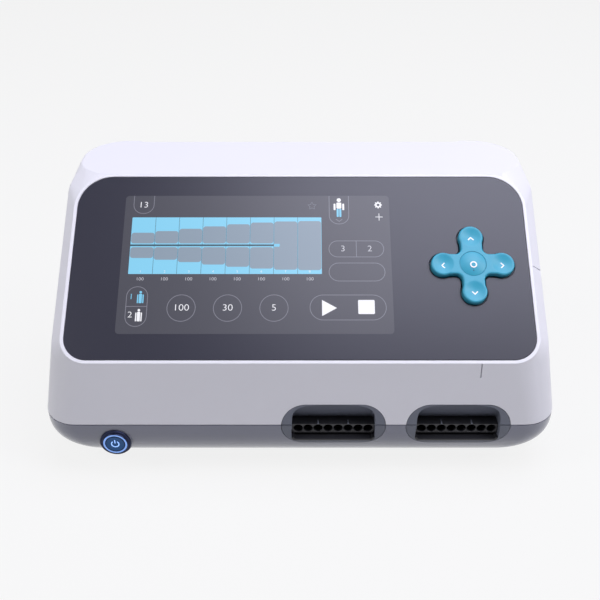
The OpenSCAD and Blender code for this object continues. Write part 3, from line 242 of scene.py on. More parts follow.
def upper_form(name, t=0.0, fillets=(0.0, 0.0, 0.0, 0.0), rear=0.0, top=0.0):
    """The hull of four outlines with rounded edges, drawn in by t: parting line, bevel, rim and shelf."""
    wide = BEVEL_WIDE + RIM
    shelf_start = SHELF_FRONT + (top - t * np.cos(TILT)) / np.sin(TILT)
    shelf_rear = REAR - REAR_LEAN - t - rear + min(rear, REAR_LEAN)
    foot = rounded_edge(lambda c: outline(HALF_W - t - c, FRONT + t + c, REAR - t - rear - c,
                                          CORNER_FRONT - t - c, CORNER_REAR - t - c), fillets[0], -90, 0, 4)
    band = rounded_edge(lambda c: outline(BAND_HW - t - c, t + c - wide, GLASS_L + wide - t - c,
                                          GLASS_LOW_R + wide - t - c, GLASS_TOP_R - 6 - t - c), fillets[1])
    rim = rounded_edge(lambda c: outline(RIM_HW - t - c, t + c - RIM, GLASS_L + RIM - t - c,
                                         GLASS_LOW_R + RIM - t - c, GLASS_TOP_R + RIM - t - c), fillets[2])
    shelf = rounded_edge(lambda c: outline(BAND_HW - SHELF_IN - t - c, shelf_start, shelf_rear - c,
                                           GLASS_TOP_R, SHELF_R - t - c), fillets[3])
    return hull_piece(name, np.concatenate([
        foot + [0, 0, SEAM + 2 * fillets[0] - (1.0 if t else 0.0)], shelf + [0, 0, TOP - t],
        on_panel(band - [0, 0, BEVEL_DROP + top / 2]), on_panel(rim - [0, 0, top])]))


def glass_outline(c, steps=20):
    """The outline of the glass in the panel frame, grown by c."""
    return outline(GLASS_HW + c, -c, GLASS_L + c, GLASS_LOW_R + c, GLASS_TOP_R + c, steps)


def deep(flat, y):
    """Puts an outline drawn in width and height at a depth, turned to run anticlockwise from behind."""
    flat = np.asarray(flat, dtype=float)[::-1]
    return np.column_stack([flat[:, 0], np.broadcast_to(y, len(flat)), flat[:, 1]])


upper = upper_form("upper_casing_shell", fillets=UPPER_FILLETS)
carve(upper, upper_form("inside", WALL, rear=REAR_LEAN + RECESS_DEEP, top=GLASS_POCKET + WALL))

# The glass pocket, with a fillet on its rim, and the openings for the display module and the key pad
POCKET_FILLET = 0.4
turn = np.radians(np.linspace(0, 90, 6))
pocket = [at_height(glass_outline(GLASS_GAP), -GLASS_POCKET)]
pocket += [at_height(glass_outline(GLASS_GAP + POCKET_FILLET * (1 - np.cos(a))),
                     POCKET_FILLET * (np.sin(a) - 1)) for a in turn]
pocket += [at_height(glass_outline(GLASS_GAP + POCKET_FILLET), 5)]
carve(upper, loft("pocket", [on_panel(ring) for ring in pocket]))

WINDOW = (-107.9, 57.9, 8.7, 107.3)    # left, right, lower and upper edge of the window in the panel frame
left, right, foot, head = WINDOW
window = np.array([[left, foot], [right, foot], [right, head], [left, head]])
carve(upper, loft("window", [on_panel(at_height(window, z)) for z in (-7, -1)]))

PAD_X, PAD_UP = GLASS_HW - 32.4, 56.0
LOBE_X, LOBE_R, NECK_W, NECK_FILLET, CROSS_GAP = 16.6, 7.0, 12.4, 3.5, 0.8


def cross_radius(angle, c=0.0):
    """How far the cross reaches at an angle: its lobe, then its neck, then the fillet between two arms."""
    a = np.abs((np.asarray(angle) + np.pi / 4) % (np.pi / 2) - np.pi / 4)
    reach = (LOBE_R + c) ** 2 - (LOBE_X * np.sin(a)) ** 2
    lobe = LOBE_X * np.cos(a) + np.sqrt(np.maximum(reach, 0)) * (reach > 0)
    neck = (NECK_W / 2 + c) / np.sin(np.maximum(a, 1e-3))
    centre = NECK_W / 2 + NECK_FILLET
    off = centre * np.sqrt(2) * np.cos(np.pi / 4 - a)
    inner = off ** 2 - 2 * centre ** 2 + (NECK_FILLET - c) ** 2
    fillet = off - np.sqrt(np.maximum(inner, 0))
    lobe_start = np.arctan2(NECK_W / 2 + c, LOBE_X - np.sqrt((LOBE_R + c) ** 2 - (NECK_W / 2 + c) ** 2))
    neck_end = np.arctan2(NECK_W / 2 + c, centre)
    return np.where(a < lobe_start, lobe, np.where(a < neck_end, neck, fillet))


def cross_outline(c=0.0, steps=288):
    """The cross grown by c, as points round its centre in the panel frame."""
    a = np.arange(steps) * 2 * np.pi / steps
    return polar(cross_radius(a, c), a) + [PAD_X, PAD_UP]


carve(upper, loft("pad_opening", [on_panel(at_height(cross_outline(CROSS_GAP), z)) for z in (-8, -1)]))

# The rear recess runs out in a soft step at each end, and the opening behind the rear panel
across = np.linspace(0, 1, 9)
step = (1 - np.cos(np.pi * across)) / 2
run = np.column_stack([RECESS_HW + RECESS_RUN * across, REAR - REAR_LEAN - RECESS_DEEP
                       + (REAR_LEAN + RECESS_DEEP + 1) * step])
recess = np.concatenate([run, (run * [-1, 1])[::-1]])
carve(upper, loft("recess", [at_height(recess, z) for z in (PARTING + RECESS_UP, TOP + 20)]))
half, foot, head = REAR_OPENING
opening = [[-half, foot], [half, foot], [half, head], [-half, head]]
carve(upper, loft("rear_opening", [deep(opening, y) for y in (60, 76)]))

# The two connectors sit in stadium-shaped cut-outs across the parting line
PORT_X = (18.8, 88.9)
PORT_W, PORT_H, PORT_DROP, PORT_DEEP, PORT_GAP = 58.6, 27.4, 1.8, 14.0, 0.15


def stadium(i, c=0.0, steps=28):
    """The stadium of connector i in width and height, grown by c: two half circles and their tangents."""
    a = np.radians(np.linspace(-90, 90, steps))
    half = polar(PORT_H / 2 + c, a) + [(PORT_W - PORT_H) / 2, 0]
    return np.concatenate([half, -half]) + [PORT_X[i], PARTING - PORT_DROP]


def port_cutter(i):
    """A stadium-shaped cutter through the front wall."""
    return loft("port", [deep(stadium(i, PORT_GAP), y) for y in (FRONT - 3, FRONT + PORT_DEEP + 2)])


for i in (0, 1):
    carve(upper, port_cutter(i))

# Two fine marks across the bevel, in line with the middle of the key pad
MARK_X, MARK_W, MARK_DEEP = PAD_X + 1.2, 0.6, 1.6
slope = np.array([BEVEL_WIDE, -BEVEL_DROP])
off = np.array([BEVEL_DROP, BEVEL_WIDE]) / np.hypot(BEVEL_WIDE, BEVEL_DROP)
r, h = np.array([-MARK_DEEP * off, slope - MARK_DEEP * off, slope + off, off]).T
sides = (MARK_W / 2, -MARK_W / 2)
for mark in ([np.column_stack([np.full(4, MARK_X + w), -RIM - r, h]) for w in sides],
             [np.column_stack([RIM_HW + r, np.full(4, PAD_UP + w), h]) for w in sides]):
    carve(upper, loft("mark", [on_panel(ring) for ring in mark]))

# A satin tool finish: a soft, even white with a grain too fine to see as more than sheen
abs_white = finish("moulded_abs_white", "e3e2e9", 0.40, shade=0.03, cloud=60, grain=0.45, depth=0.003)
dress(upper, abs_white)
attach(upper, "housing")
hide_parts("upper_casing")

# ---------------------------------------------------------------- lower casing
# The grey tray under the parting line: a straight lip, then a quarter-round tuck to a flat floor. Moulded
# in the same satin ABS, with a round boss for the power switch, cooling slots and four screw wells.

BASE_LIP, BASE_ROUND, TUCK = 5.0, 30.0, 0.3
LIP_FILLET, GAP_H, GAP_DEEP = 0.15, 0.5, 0.7
SWITCH_X, SWITCH_Z, BOSS_R, BOSS_DEEP, BORE_R = -104.9, PARTING - 13.5, 9.4, 9.0, 8.05
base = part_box("lower_casing")[0][2] / MM


def tray(name, t, head, fillet=0.0, gap=0.0):
    """Loops drawn in by t + (R - t)(1 - cos a), lower by (R - t) sin a, for a from 90 to 0, then the lip."""
    rings = []
    for a in np.radians(np.linspace(90, 0, 19)):
        d = t + (BASE_ROUND - t) * (1 - np.cos(a))
        flat = outline(HALF_W - d, FRONT + d, REAR - d, CORNER_FRONT + TUCK * d, CORNER_REAR + TUCK * d, 24)
        rings.append(at_height(flat, PARTING - BASE_LIP - (BASE_ROUND - t) * np.sin(a)))
    for a in np.radians(np.linspace(0, 90, 4)):
        c = t + fillet * (1 - np.cos(a))
        flat = outline(HALF_W - c, FRONT + c, REAR - c, CORNER_FRONT - c, CORNER_REAR - c, 24)
        rings.append(at_height(flat, head - gap + fillet * (np.sin(a) - 1) - 0.01 * (1 - np.sin(a))))
    if gap:
        c = GAP_DEEP
        flat = outline(HALF_W - c, FRONT + c, REAR - c, CORNER_FRONT - c, CORNER_REAR - c, 24)
        rings += [at_height(flat, head - gap + 0.01), at_height(flat, head)]
    return loft(name, rings)


def round_loop(x, y, r, steps=40):
    """A circle round a place."""
    return polar(r, np.arange(steps) * 2 * np.pi / steps) + [x, y]


def rod(name, x, z, radii, depths, steps=64):
    """A turned form along Y: loops of the given radii at the given depths."""
    return loft(name, [deep(round_loop(x, z, r, steps), y) for r, y in zip(radii, depths)])


def post(name, x, y, radii, heights, steps=48):
    """A turned form along Z: loops of the given radii at the given heights."""
    return loft(name, [at_height(round_loop(x, y, r, steps), z) for r, z in zip(radii, heights)])


def joined(name, pieces):
    """Joins like pieces to one."""
    for piece in pieces[1:]:
        carve(pieces[0], piece, "UNION")
    pieces[0].name = name
    return pieces[0]


lower = tray("lower_casing_tray", 0.0, SEAM, LIP_FILLET, GAP_H)
carve(lower, tray("inside", WALL, PARTING + 1))
carve(lower, rod("boss", SWITCH_X, SWITCH_Z, (BOSS_R - 0.5, BOSS_R - 0.1, BOSS_R, BOSS_R + 0.6),
                 (FRONT, FRONT + 0.15, FRONT + 0.6, FRONT + BOSS_DEEP)), "UNION")
carve(lower, rod("bore", SWITCH_X, SWITCH_Z, (BORE_R, BORE_R), (FRONT - 1, FRONT + BOSS_DEEP + 1)))
for i in (0, 1):
    carve(lower, port_cutter(i))
SLOT_X, SLOT_PITCH, SLOT_W, SLOT_R, SLOT_Y = -67.0, 6.0, 3.0, 1.4, (-9.0, 27.0)
for k in range(-4, 5):
    x = SLOT_X + k * SLOT_PITCH
    slot = outline(SLOT_W / 2, *SLOT_Y, SLOT_R, SLOT_R, 5) + [x, 0]
    carve(lower, loft("slot", [at_height(slot, z) for z in (base - 1, base + WALL + 1)]))
WELL_X, WELL_Y, WELL_R, WELL_TOP = 131, (-56, 46), 3.5, 24
for x, y in [(side * WELL_X, y) for y in WELL_Y for side in (-1, 1)]:
    carve(lower, post("well", x, y, (WELL_R, WELL_R), (base - 1, WELL_TOP)))
# A smoother tool than the white casing's, so the tuck mirrors the floor softly
abs_grey = finish("moulded_abs_grey", "787a8b", 0.3, shade=0.05, cloud=50, grain=0.45, depth=0.003,
                  Coat_Weight=0.7, Coat_Roughness=0.22)
dress(lower, abs_grey)
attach(lower, "housing")
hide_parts("lower_casing")

# ---------------------------------------------------------------- front glass
# A sheet of tinted glass with an etched, faintly matt face, ground on its edges and printed dark behind. It
# drops into the pocket on a black foam gasket, and has a cross-shaped hole for the key pad.

GLASS_T, GLASS_EDGE = 1.8, 0.25

sheet = [(-GLASS_EDGE, -GLASS_T), (0, GLASS_EDGE - GLASS_T), (0, -GLASS_EDGE), (-GLASS_EDGE, 0)]
glass = loft("front_glass_sheet", [on_panel(at_height(glass_outline(c, 32), z)) for c, z in sheet])
hole = [(0, -3), (0, -GLASS_EDGE), (GLASS_EDGE, 0), (2 * GLASS_EDGE, GLASS_EDGE)]
carve(glass, loft("hole", [on_panel(at_height(cross_outline(CROSS_GAP + c), z)) for c, z in hole]))

# Etched glass blurs what it mirrors, so the lamp overhead shows as a slow ramp of light across it
etched_glass = finish("etched_tinted_glass", "2b2b38", 0.34, shade=0.02, cloud=90, grain=0.3, depth=0.0003,
                      spread=0.02, IOR=1.5)
dress(glass, etched_glass)
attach(glass, "housing")
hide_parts("front_glass")
# Foam with closed pores: dull and black, and it takes no highlight
foam = finish("closed_cell_foam", "17171a", 0.85, shade=0.3, cloud=3, grain=0.4, depth=0.05)
coat("glass_gasket", foam)

# ---------------------------------------------------------------- lit display
# A seven inch touch display bonded behind the glass. What it shows is laid on the glass as paper-thin
# inlays: numbers, play and stop, rings and pills to press, and a chart with a bar for each air chamber.

INK = 0.03                             # thickness of an inlay
SCREEN = (-102.1, 52.1, 15.0, 100.9)   # left, right, lower and upper edge in the panel frame
OUT = np.array([0.0, 0.0, 1.0])


def plate(loop, floor=0.0):
    """A flat inlay: the loop at the floor height and again one thickness of ink higher."""
    rows = [at_height(loop, z) for z in (floor, floor + INK)]
    return np.concatenate(rows), skin(2, len(loop))


def ribbon(path, width, closed=False, floor=0.0, thick=INK):
    """A strip along a path: its edges lie half the width to each side, square to the path, in two heights."""
    path = np.asarray(path, dtype=float)
    if path.shape[1] == 2:
        path = at_height(path, floor)
    ahead = np.roll(path, -1, axis=0) - np.roll(path, 1, axis=0) if closed else np.gradient(path, axis=0)
    side = np.cross(ahead, OUT)
    side *= width / 2 / np.linalg.norm(side, axis=1, keepdims=True)
    rows = np.stack([path + side, path - side, path - side + thick * OUT, path + side + thick * OUT], axis=1)
    return rows.reshape(-1, 3), skin(len(path), 4, ends=not closed)


def digits(text, x, y, size, floor=0.0):
    """Numbers centred on a place: the outline of the font, raised by one thickness of ink."""
    writing = bpy.data.curves.new("digits", "FONT")
    writing.body, writing.size, writing.extrude = text, size, INK / 2
    writing.align_x, writing.align_y, writing.offset = "CENTER", "CENTER", -0.012 * size
    writer = bpy.data.objects.new("digits", writing)
    form = bmesh.new()
    form.from_mesh(bpy.data.meshes.new_from_object(writer))
    bmesh.ops.remove_doubles(form, verts=form.verts, dist=0.001)
    points = np.array([vertex.co for vertex in form.verts]) * [1.12, 1, 1] + [x, y, floor + INK / 2]
    faces = [[vertex.index for vertex in face.verts] for face in form.faces]
    form.free()
    bpy.data.objects.remove(writer)
    return points, faces


def inlay(name, parts, material, place=on_panel, body="housing"):
    """Joins flat forms to one piece and puts it in its place on the object."""
    starts = np.cumsum([0, *(len(points) for points, _ in parts)])
    faces = [[start + k for k in face] for start, (_, own) in zip(starts, parts) for face in own]
    piece = mesh_piece(name, place(np.concatenate([points for points, _ in parts])), faces)
    piece.data.materials.append(material)
    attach(piece, body)
    return piece


def rounded(left, right, foot, head, r, steps=10):
    """A rounded rectangle between four edges."""
    return outline((right - left) / 2, foot, head, r, r, steps) + [(left + right) / 2, 0]


def lit(name, colour, glow=1.0):
    """A lit area of the display: its own light is its colour, over a dark base under the same etched face."""
    return finish(name, "1c1c22", 0.34, shade=0.03, cloud=40, grain=0.3, depth=0.0003, spread=0.02,
                  Emission_Color=to_linear(colour), Emission_Strength=glow)


# The colours that the display shows, from its grey ground to its pale blue chart
lit_grey = lit("display_grey", "42424b")
lit_line = lit("display_line", "7c7c88")
lit_white = lit("display_white", "f4f4fa")
lit_soft = lit("display_soft_white", "cfcfd8")
lit_blue = lit("display_blue", "78c8ec")
lit_chart = lit("display_chart_blue", "82cdee")
lit_bar = lit("display_bar_grey", "8797a8")
lit_rule = lit("display_rule", "35505f")

inlay("display_lit_area", [plate(rounded(*SCREEN, 2.2))], lit_grey)

# Rings, pills and tabs in a thin pale line
LINE = 0.38
level_1, level_2, level_3 = INK, 2 * INK, 3 * INK
CIRCLE_UP, CIRCLE_R, CIRCLES = 30.3, 7.9, ((-66.3, "100"), (-40.4, "30"), (-14.5, "5"))
# Left, right, foot, head and corner radius of each pill and pocket
PILLS = ((16.6, 48.0, 61.5, 71.6, 5.0), (16.5, 48.2, 46.6, 57.7, 5.5), (-97.2, -85.4, 19.4, 43.1, 5.8),
         (5.6, 48.1, 23.2, 38.1, 7.4, 14))
TABS = ((-97.2, -85.4, 89.3, 100.8, 5.6), (17.06, 28.43, 82.46, 100.8, 5.4))
DIVIDERS = ([[32.3, 61.7], [32.3, 71.4]], [[-97.1, 31.2], [-85.5, 31.2]])
CHEVRON, STAR = [[20.9, 85.6], [22.75, 84.1], [24.6, 85.6]], (7.0, 94.2)
tab_arc = np.radians(np.linspace(180, 360, 17))


def tab(left, right, foot, head, r):
    """A pocket hanging from an edge: down, round the foot on two quarter circles, and up again."""
    low_left = polar(r, tab_arc[:9]) + [left + r, foot + r]
    low_right = polar(r, tab_arc[8:]) + [right - r, foot + r]
    return np.concatenate([[[left, head]], low_left, low_right, [[right, head]]])


lines = [ribbon(round_loop(x, CIRCLE_UP, CIRCLE_R), LINE, True, level_1) for x, _ in CIRCLES]
lines += [ribbon(rounded(*pill), LINE, True, level_1) for pill in PILLS]
lines += [ribbon(path, LINE, False, level_1) for path in (*DIVIDERS, *(tab(*pocket) for pocket in TABS))]
lines.append(ribbon(CHEVRON, 0.45, False, level_1))
point = np.radians(90 + np.arange(10) * 36)
reach = np.where(np.arange(10) % 2, 1.25, 2.6)
lines.append(ribbon(polar(reach, point) + STAR, 0.32, True, level_1))
inlay("display_lines", lines, lit_line)

# Play, stop, plus, gear and the numbers
GEAR, STOP = (45.7, 94.85), (32.45, 41.7, 26.7, 35.1, 0.6, 5)
PLAY = [[12.3, 25.5], [20.6, 30.3], [12.3, 35.1]]
PLUS = ([[43.9, 87.0], [48.1, 87.0]], [[46.0, 84.7], [46.0, 89.3]])
teeth = np.arange(96) * 2 * np.pi / 96
gear = polar(1.95 + 0.32 * np.tanh(4 * np.cos(8 * teeth)), teeth) + GEAR
gear_hole = round_loop(*GEAR, 0.85, 96)
gear_rows = [at_height(gear, level_1), at_height(gear, level_2), at_height(gear_hole, level_2),
             at_height(gear_hole, level_1)]
white = [plate(PLAY, level_1), plate(rounded(*STOP), level_1),
         *(ribbon(stroke, 0.35, False, level_1) for stroke in PLUS),
         (np.concatenate(gear_rows), skin(4, 96, ends=False)),
         digits("13", -91.5, 94.8, 5.4, level_1)]
white += [digits(text, x, CIRCLE_UP + 0.1, 5.5, level_1) for x, text in CIRCLES]
inlay("display_white_marks", white, lit_white)
soft = [digits("3", 24.6, 66.6, 5.2, level_1), digits("2", 40.0, 66.6, 5.2, level_1)]

# The chart: eight columns, one for each air chamber, and two rows of bars that mirror each other
CHART = (-97.4, 12.4, 50.9, 86.7)
COLUMNS, FILLED, BAR_GAP = 8, 6, 1.2    # the line in the middle runs past the filled chambers
column_w = (CHART[1] - CHART[0]) / COLUMNS
middle = (CHART[2] + CHART[3]) / 2
inlay("display_chart", [plate(rounded(*CHART, 0.3, 3), level_1)], lit_chart)
bars, rules, numbers = [], [], []
for k in range(COLUMNS):
    left = CHART[0] + k * column_w
    bar_h = 8.0 + 7.5 * np.sin(np.pi / 2 * k / (COLUMNS - 1)) ** 1.3
    spans = [(-bar_h, -BAR_GAP), (BAR_GAP, bar_h)] if k < FILLED else [(-bar_h, bar_h)]
    bars += [plate(rounded(left + 0.2, left + column_w - 0.2, middle + foot, middle + head, 1.6, 8), level_2)
             for foot, head in spans]
    soft.append(digits("100", left + column_w / 2, 47.8, 2.7, level_1))
    numbers.append(digits(str(k + 1), left + column_w / 2, CHART[2] + 1.5, 1.9, level_2))
    if k:
        rules.append(ribbon([[left, CHART[2]], [left, CHART[3]]], 0.22, False, level_3))
rules.append(ribbon([[CHART[0], middle], [CHART[0] + FILLED * column_w, middle]], 1.1, False, level_3))
inlay("display_bars", bars, lit_bar)
inlay("display_rules", rules, lit_rule)
inlay("display_chamber_numbers", numbers, lit_white)
inlay("display_soft_numbers", soft, lit_soft)


def person(x, foot, size, legs=False):
    """A plain figure from rounded plates: head, trunk and two arms, as wide as half its height."""
    body = [plate(round_loop(x, foot + 0.89 * size, 0.1 * size, 20), level_1),
            plate(rounded(x - 0.115 * size, x + 0.115 * size, foot + (0.44 if legs else 0.0) * size,
                          foot + 0.76 * size, 0.05 * size, 4), level_1)]
    for way in (-1, 1):
        near, far = sorted((x + way * 0.16 * size, x + way * 0.25 * size))
        arm = rounded(near, far, foot + 0.36 * size * legs, foot + 0.70 * size, 0.03 * size, 4)
        body.append(plate(arm, level_1))
    return body


def leg_pair(x, foot, size):
    """Two legs under a plain figure."""
    edges = [sorted((x + way * 0.015 * size, x + way * 0.11 * size)) for way in (-1, 1)]
    return [plate(rounded(near, far, foot, foot + 0.43 * size, 0.04 * size, 4), level_1)
            for near, far in edges]


FIGURE = (22.75, 87.0, 12.4)           # place and height of the large figure
inlay("display_white_figures", [*person(*FIGURE, True), *person(-89.7, 22.4, 7.4),
                                digits("2", -94.6, 26.2, 5.0, level_1)], lit_white)
front = CHART[0] + FILLED * column_w
marker = plate(rounded(front + 0.1, front + 3.4, middle - 0.9, middle + 0.9, 0.4, 4), level_3)
inlay("display_blue_figures", [*leg_pair(*FIGURE), *person(-89.4, 33.2, 7.4),
                               digits("1", -94.6, 37.0, 4.8, level_1), marker], lit_blue)
# The stamped steel back of the module: lacquered grey with a dull shine
display_metal = finish("display_rear_metal", "8b8d92", 0.45, shade=0.1, cloud=18, grain=0.8, depth=0.01,
                       Metallic=0.6)
coat("display_module", display_metal)

# ---------------------------------------------------------------- key pad
# A rocker in light blue ABS that tips four ways on a gimbal: one smooth cross with a round, dished pad at the
# end of each arm. A round, domed key sits flush in its middle, and both carry printed white signs.

CROSS_H, CROSS_LOW, SKIRT_LOW, CROSS_FILLET = 3.2, -1.5, -10.0, 1.1
DISH_R, DISH_DEEP = 6.0, 1.15
KEY_R, KEY_HOLE_R, KEY_H, KEY_DOME, KEY_ROUND = 7.54, 7.6, 3.0, 1.4, 0.15
SKIRT_OUT, SKIRT_INSIDE, STEM_R, STEM_LOW = 8.2, 6.9, 3.0, -11.9
PLUNGER_X, PLUNGER_R, PLUNGER_LOW = 18.5, 1.5, -12.0
FOUR_WAYS = np.array([[1, 0], [0, 1], [-1, 0], [0, -1]])


def cross_top(x, y):
    """Height of the rocker's face round its centre: each pad's dish is DISH_DEEP (1 - (d / r)^2)^1.3 deep."""
    deepest = np.zeros(np.shape(x))
    for across, up in FOUR_WAYS * LOBE_X:
        q = np.maximum(1 - ((x - across) ** 2 + (y - up) ** 2) / DISH_R ** 2, 0)
        deepest = np.maximum(deepest, DISH_DEEP * q ** 1.3)
    return CROSS_H - deepest


def key_top(r):
    """Height of the centre key's face: a cap KEY_DOME high of a sphere of radius R = (r0^2 + h^2) / 2h."""
    sphere_r = (KEY_R ** 2 + KEY_DOME ** 2) / (2 * KEY_DOME)
    return KEY_H + KEY_DOME - sphere_r + np.sqrt(sphere_r ** 2 - r ** 2)


angle = np.arange(360) * 2 * np.pi / 360
around = polar(1, angle)
edge_r = cross_radius(angle, -CROSS_FILLET)
rings = [at_height(around * KEY_HOLE_R, CROSS_LOW), at_height(around * KEY_HOLE_R, CROSS_H - 0.3)]
for t in np.linspace(0, 1, 26):
    flat = around * (KEY_HOLE_R + 0.3 * min(t * 25, 1) + (edge_r - KEY_HOLE_R - 0.3) * t)[:, None]
    rings.append(at_height(flat, cross_top(*flat.T)))
for a in np.radians(np.linspace(15, 90, 6)):
    flat = around * cross_radius(angle, -CROSS_FILLET * (1 - np.sin(a)))[:, None]
    rings.append(at_height(flat, cross_top(*flat.T) - CROSS_FILLET * (1 - np.cos(a))))
rim = cross_radius(angle, 0.0)[:, None]
rings += [at_height(around * rim, CROSS_LOW + 0.2), at_height(around * (rim - 0.2), CROSS_LOW)]
rings += [at_height(around * r, z) for r, z in ((SKIRT_OUT, CROSS_LOW), (SKIRT_OUT, SKIRT_LOW),
                                                (SKIRT_INSIDE, SKIRT_LOW), (SKIRT_INSIDE, CROSS_LOW))]
on_pad = np.array([PAD_X, PAD_UP, 0.0])
rocker = mesh_piece("keypad_rocker", on_panel(np.concatenate(rings) + on_pad),
                    skin(len(rings), 360, ends=False))
for x, y in FOUR_WAYS * PLUNGER_X + [PAD_X, PAD_UP]:
    plunger = [at_height(round_loop(x, y, PLUNGER_R, 24), z) for z in (PLUNGER_LOW, CROSS_LOW + 0.5)]
    carve(rocker, loft("plunger", [on_panel(ring) for ring in plunger]), "UNION")

profile = [(0.5, STEM_LOW), (STEM_R, STEM_LOW + 0.1), (STEM_R, -0.2), (KEY_R - 0.3, -0.2), (KEY_R, 0.1),
           (KEY_R, KEY_H - KEY_ROUND), (KEY_R - 0.3 * KEY_ROUND, KEY_H - 0.3 * KEY_ROUND)]
profile += [(r, key_top(r)) for r in np.linspace(KEY_R - KEY_ROUND, 0.2, 18)]
key = loft("keypad_centre_key", [on_panel(at_height(around * r, z) + on_pad) for r, z in profile])

# Moulded ABS, a touch glossier than the casing where fingers polish it
key_abs = finish("moulded_abs_light_blue", "3aa1be", 0.44, shade=0.05, cloud=12, grain=0.4, depth=0.002)
for piece, node, body in ((rocker, "keypad_cross", "cross"), (key, "keypad_center_key", "center_key")):
    dress(piece, key_abs)
    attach(piece, body)
    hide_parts(node)

# The signs lie on curved faces, so each point of a stroke takes its height from the face under it
SIGN_W, SIGN_REACH, SIGN_DROP = 0.65, 1.6, 0.75
# Pad-printed ink is flat, opaque and duller than the key under it
key_print = finish("pad_print_white", "f2f4f8", 0.5, shade=0.02, cloud=8, grain=0.2, depth=0.001)
for name, turn in (("right", 0), ("up", 90), ("left", 180), ("down", 270)):
    leg = np.linspace(-1, 1, 13)
    flat = np.column_stack([LOBE_X + 0.9 - SIGN_REACH * np.abs(leg), SIGN_REACH * leg])
    c, s = np.cos(np.radians(turn)), np.sin(np.radians(turn))
    flat = flat @ np.array([[c, s], [-s, c]]) - [0, SIGN_DROP]
    height = cross_top(*flat.T) + 0.01
    inlay("keypad_sign_" + name, [ribbon(at_height(flat + [PAD_X, PAD_UP], height), SIGN_W)], key_print,
          body="cross")
ring = round_loop(PAD_X, PAD_UP - 1.1, 1.6, 48)
pin_hole = round_loop(PAD_X - 0.1, PAD_UP - 4.5, 0.32, 16)
inlay("keypad_sign_ring", [ribbon(at_height(ring, key_top(0.3) + 0.01), 0.75, True)], key_print,
      body="center_key")
# A flat navy disc over the small light hole below the ring: painted shade for the dark inside the hole
light_hole_painted_shade = finish("painted_hole_shade_navy", "1d4a6b", 0.5, shade=0.05, cloud=5, grain=0.2, depth=0.001)
inlay("keypad_light_hole", [plate(pin_hole, key_top(4.2) + 0.01)], light_hole_painted_shade, body="center_key")

# Acetal is milky, the inner ABS plain grey and silicone pale and dull; solder resist is a glossy green, and
# zinc plating a bright metal with faint clouds
acetal = finish("moulded_acetal", "d8d8d2", 0.42, shade=0.05, cloud=10, grain=0.4, depth=0.004)
inner_abs = finish("moulded_abs_inner_grey", "a6a7ac", 0.5, shade=0.06, cloud=20, grain=0.5, depth=0.006)
silicone = finish("moulded_silicone", "dfe3e6", 0.55, shade=0.05, cloud=8, grain=0.3, depth=0.004)
board_green = finish("solder_resist_green", "1d5a36", 0.4, shade=0.25, cloud=2.5, grain=0.6, depth=0.02)
zinc_steel = finish("zinc_plated_steel", "b9bcc2", 0.32, shade=0.12, cloud=3, grain=0.25, depth=0.004,
                    Metallic=1.0)
for node, material in (("keypad_gimbal", acetal), ("keypad_base", inner_abs), ("keypad_membrane", silicone),
                       ("keypad_board", board_green), ("keypad_screws", zinc_steel),
                       ("display_screws", zinc_steel), ("display_bracket", zinc_steel)):
    coat(node, material)

# ---------------------------------------------------------------- power switch
# A 16 mm push switch in anodised aluminium: a dark flange and rim, a ring of light round the cap, and a lit
# power sign on it. It goes through the boss of the lower casing and is held by a nut behind.

SWITCH = np.array([SWITCH_X, FRONT, SWITCH_Z])
FLANGE_R, RIM_R, RIM_PROUD, LIGHT_OUT, LIGHT_IN, CAP_R = 8.8, 7.4, 2.0, 6.8, 5.7, 5.2


def turned(name, place, profile, steps=96):
    """A closed profile of (radius, height out of the front) pairs turned once round an axis along Y."""
    a = np.arange(steps) * 2 * np.pi / steps
    rings = [np.column_stack([place[0] + r * np.cos(a), np.full(steps, place[1] - h),
                              place[2] - r * np.sin(a)]) for r, h in profile]
    return mesh_piece(name, np.concatenate(rings), skin(len(profile), steps, ends=False))


def on_switch(points):
    """The plane of the switch: x to the right, y up, z out of the front."""
    return SWITCH + points[:, :1] * [1, 0, 0] + points[:, 1:2] * [0, 0, 1] + points[:, 2:] * [0, -1, 0]


profile = [(0.5, -24.0), (7.8, -24.0), (8.0, -23.8), (8.0, 0.0), (FLANGE_R - 0.1, 0.0), (FLANGE_R, 0.15),
           (FLANGE_R, 0.6), (FLANGE_R - 0.15, 0.9), (FLANGE_R - 0.45, 1.0), (RIM_R + 0.25, 1.05),
           (RIM_R + 0.05, 1.25), (RIM_R, 1.7), (RIM_R - 0.15, 1.93), (RIM_R - 0.35, RIM_PROUD),
           (LIGHT_OUT + 0.05, RIM_PROUD - 0.05), (LIGHT_OUT, RIM_PROUD - 1.2), (LIGHT_IN, RIM_PROUD - 1.2),
           (LIGHT_IN, RIM_PROUD - 0.15), (LIGHT_IN - 0.15, RIM_PROUD), (5.3, RIM_PROUD - 0.1),
           (5.3, -6.6), (0.5, -6.6)]
radii, heights = np.array(profile[::-1]).T
bezel = rod("power_switch_bezel", SWITCH_X, SWITCH_Z, radii, FRONT - heights, 96)
for x in (-4.0, 4.0):
    blade = np.array([[x - 1.5, -0.4], [x + 1.5, -0.4], [x + 1.5, 0.4], [x - 1.5, 0.4]])
    blade += [SWITCH[0], SWITCH[2]]
    carve(bezel, loft("terminal", [deep(blade, y) for y in (FRONT + 23.5, FRONT + 32)]), "UNION")
# Anodised aluminium keeps the sheen of its metal under a dark blue
bezel_metal = finish("anodised_aluminium_navy", "262b44", 0.3, shade=0.08, cloud=6, grain=0.25, depth=0.002,
                     Metallic=0.85)
dress(bezel, bezel_metal)
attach(bezel, "housing")
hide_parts("power_switch_body")

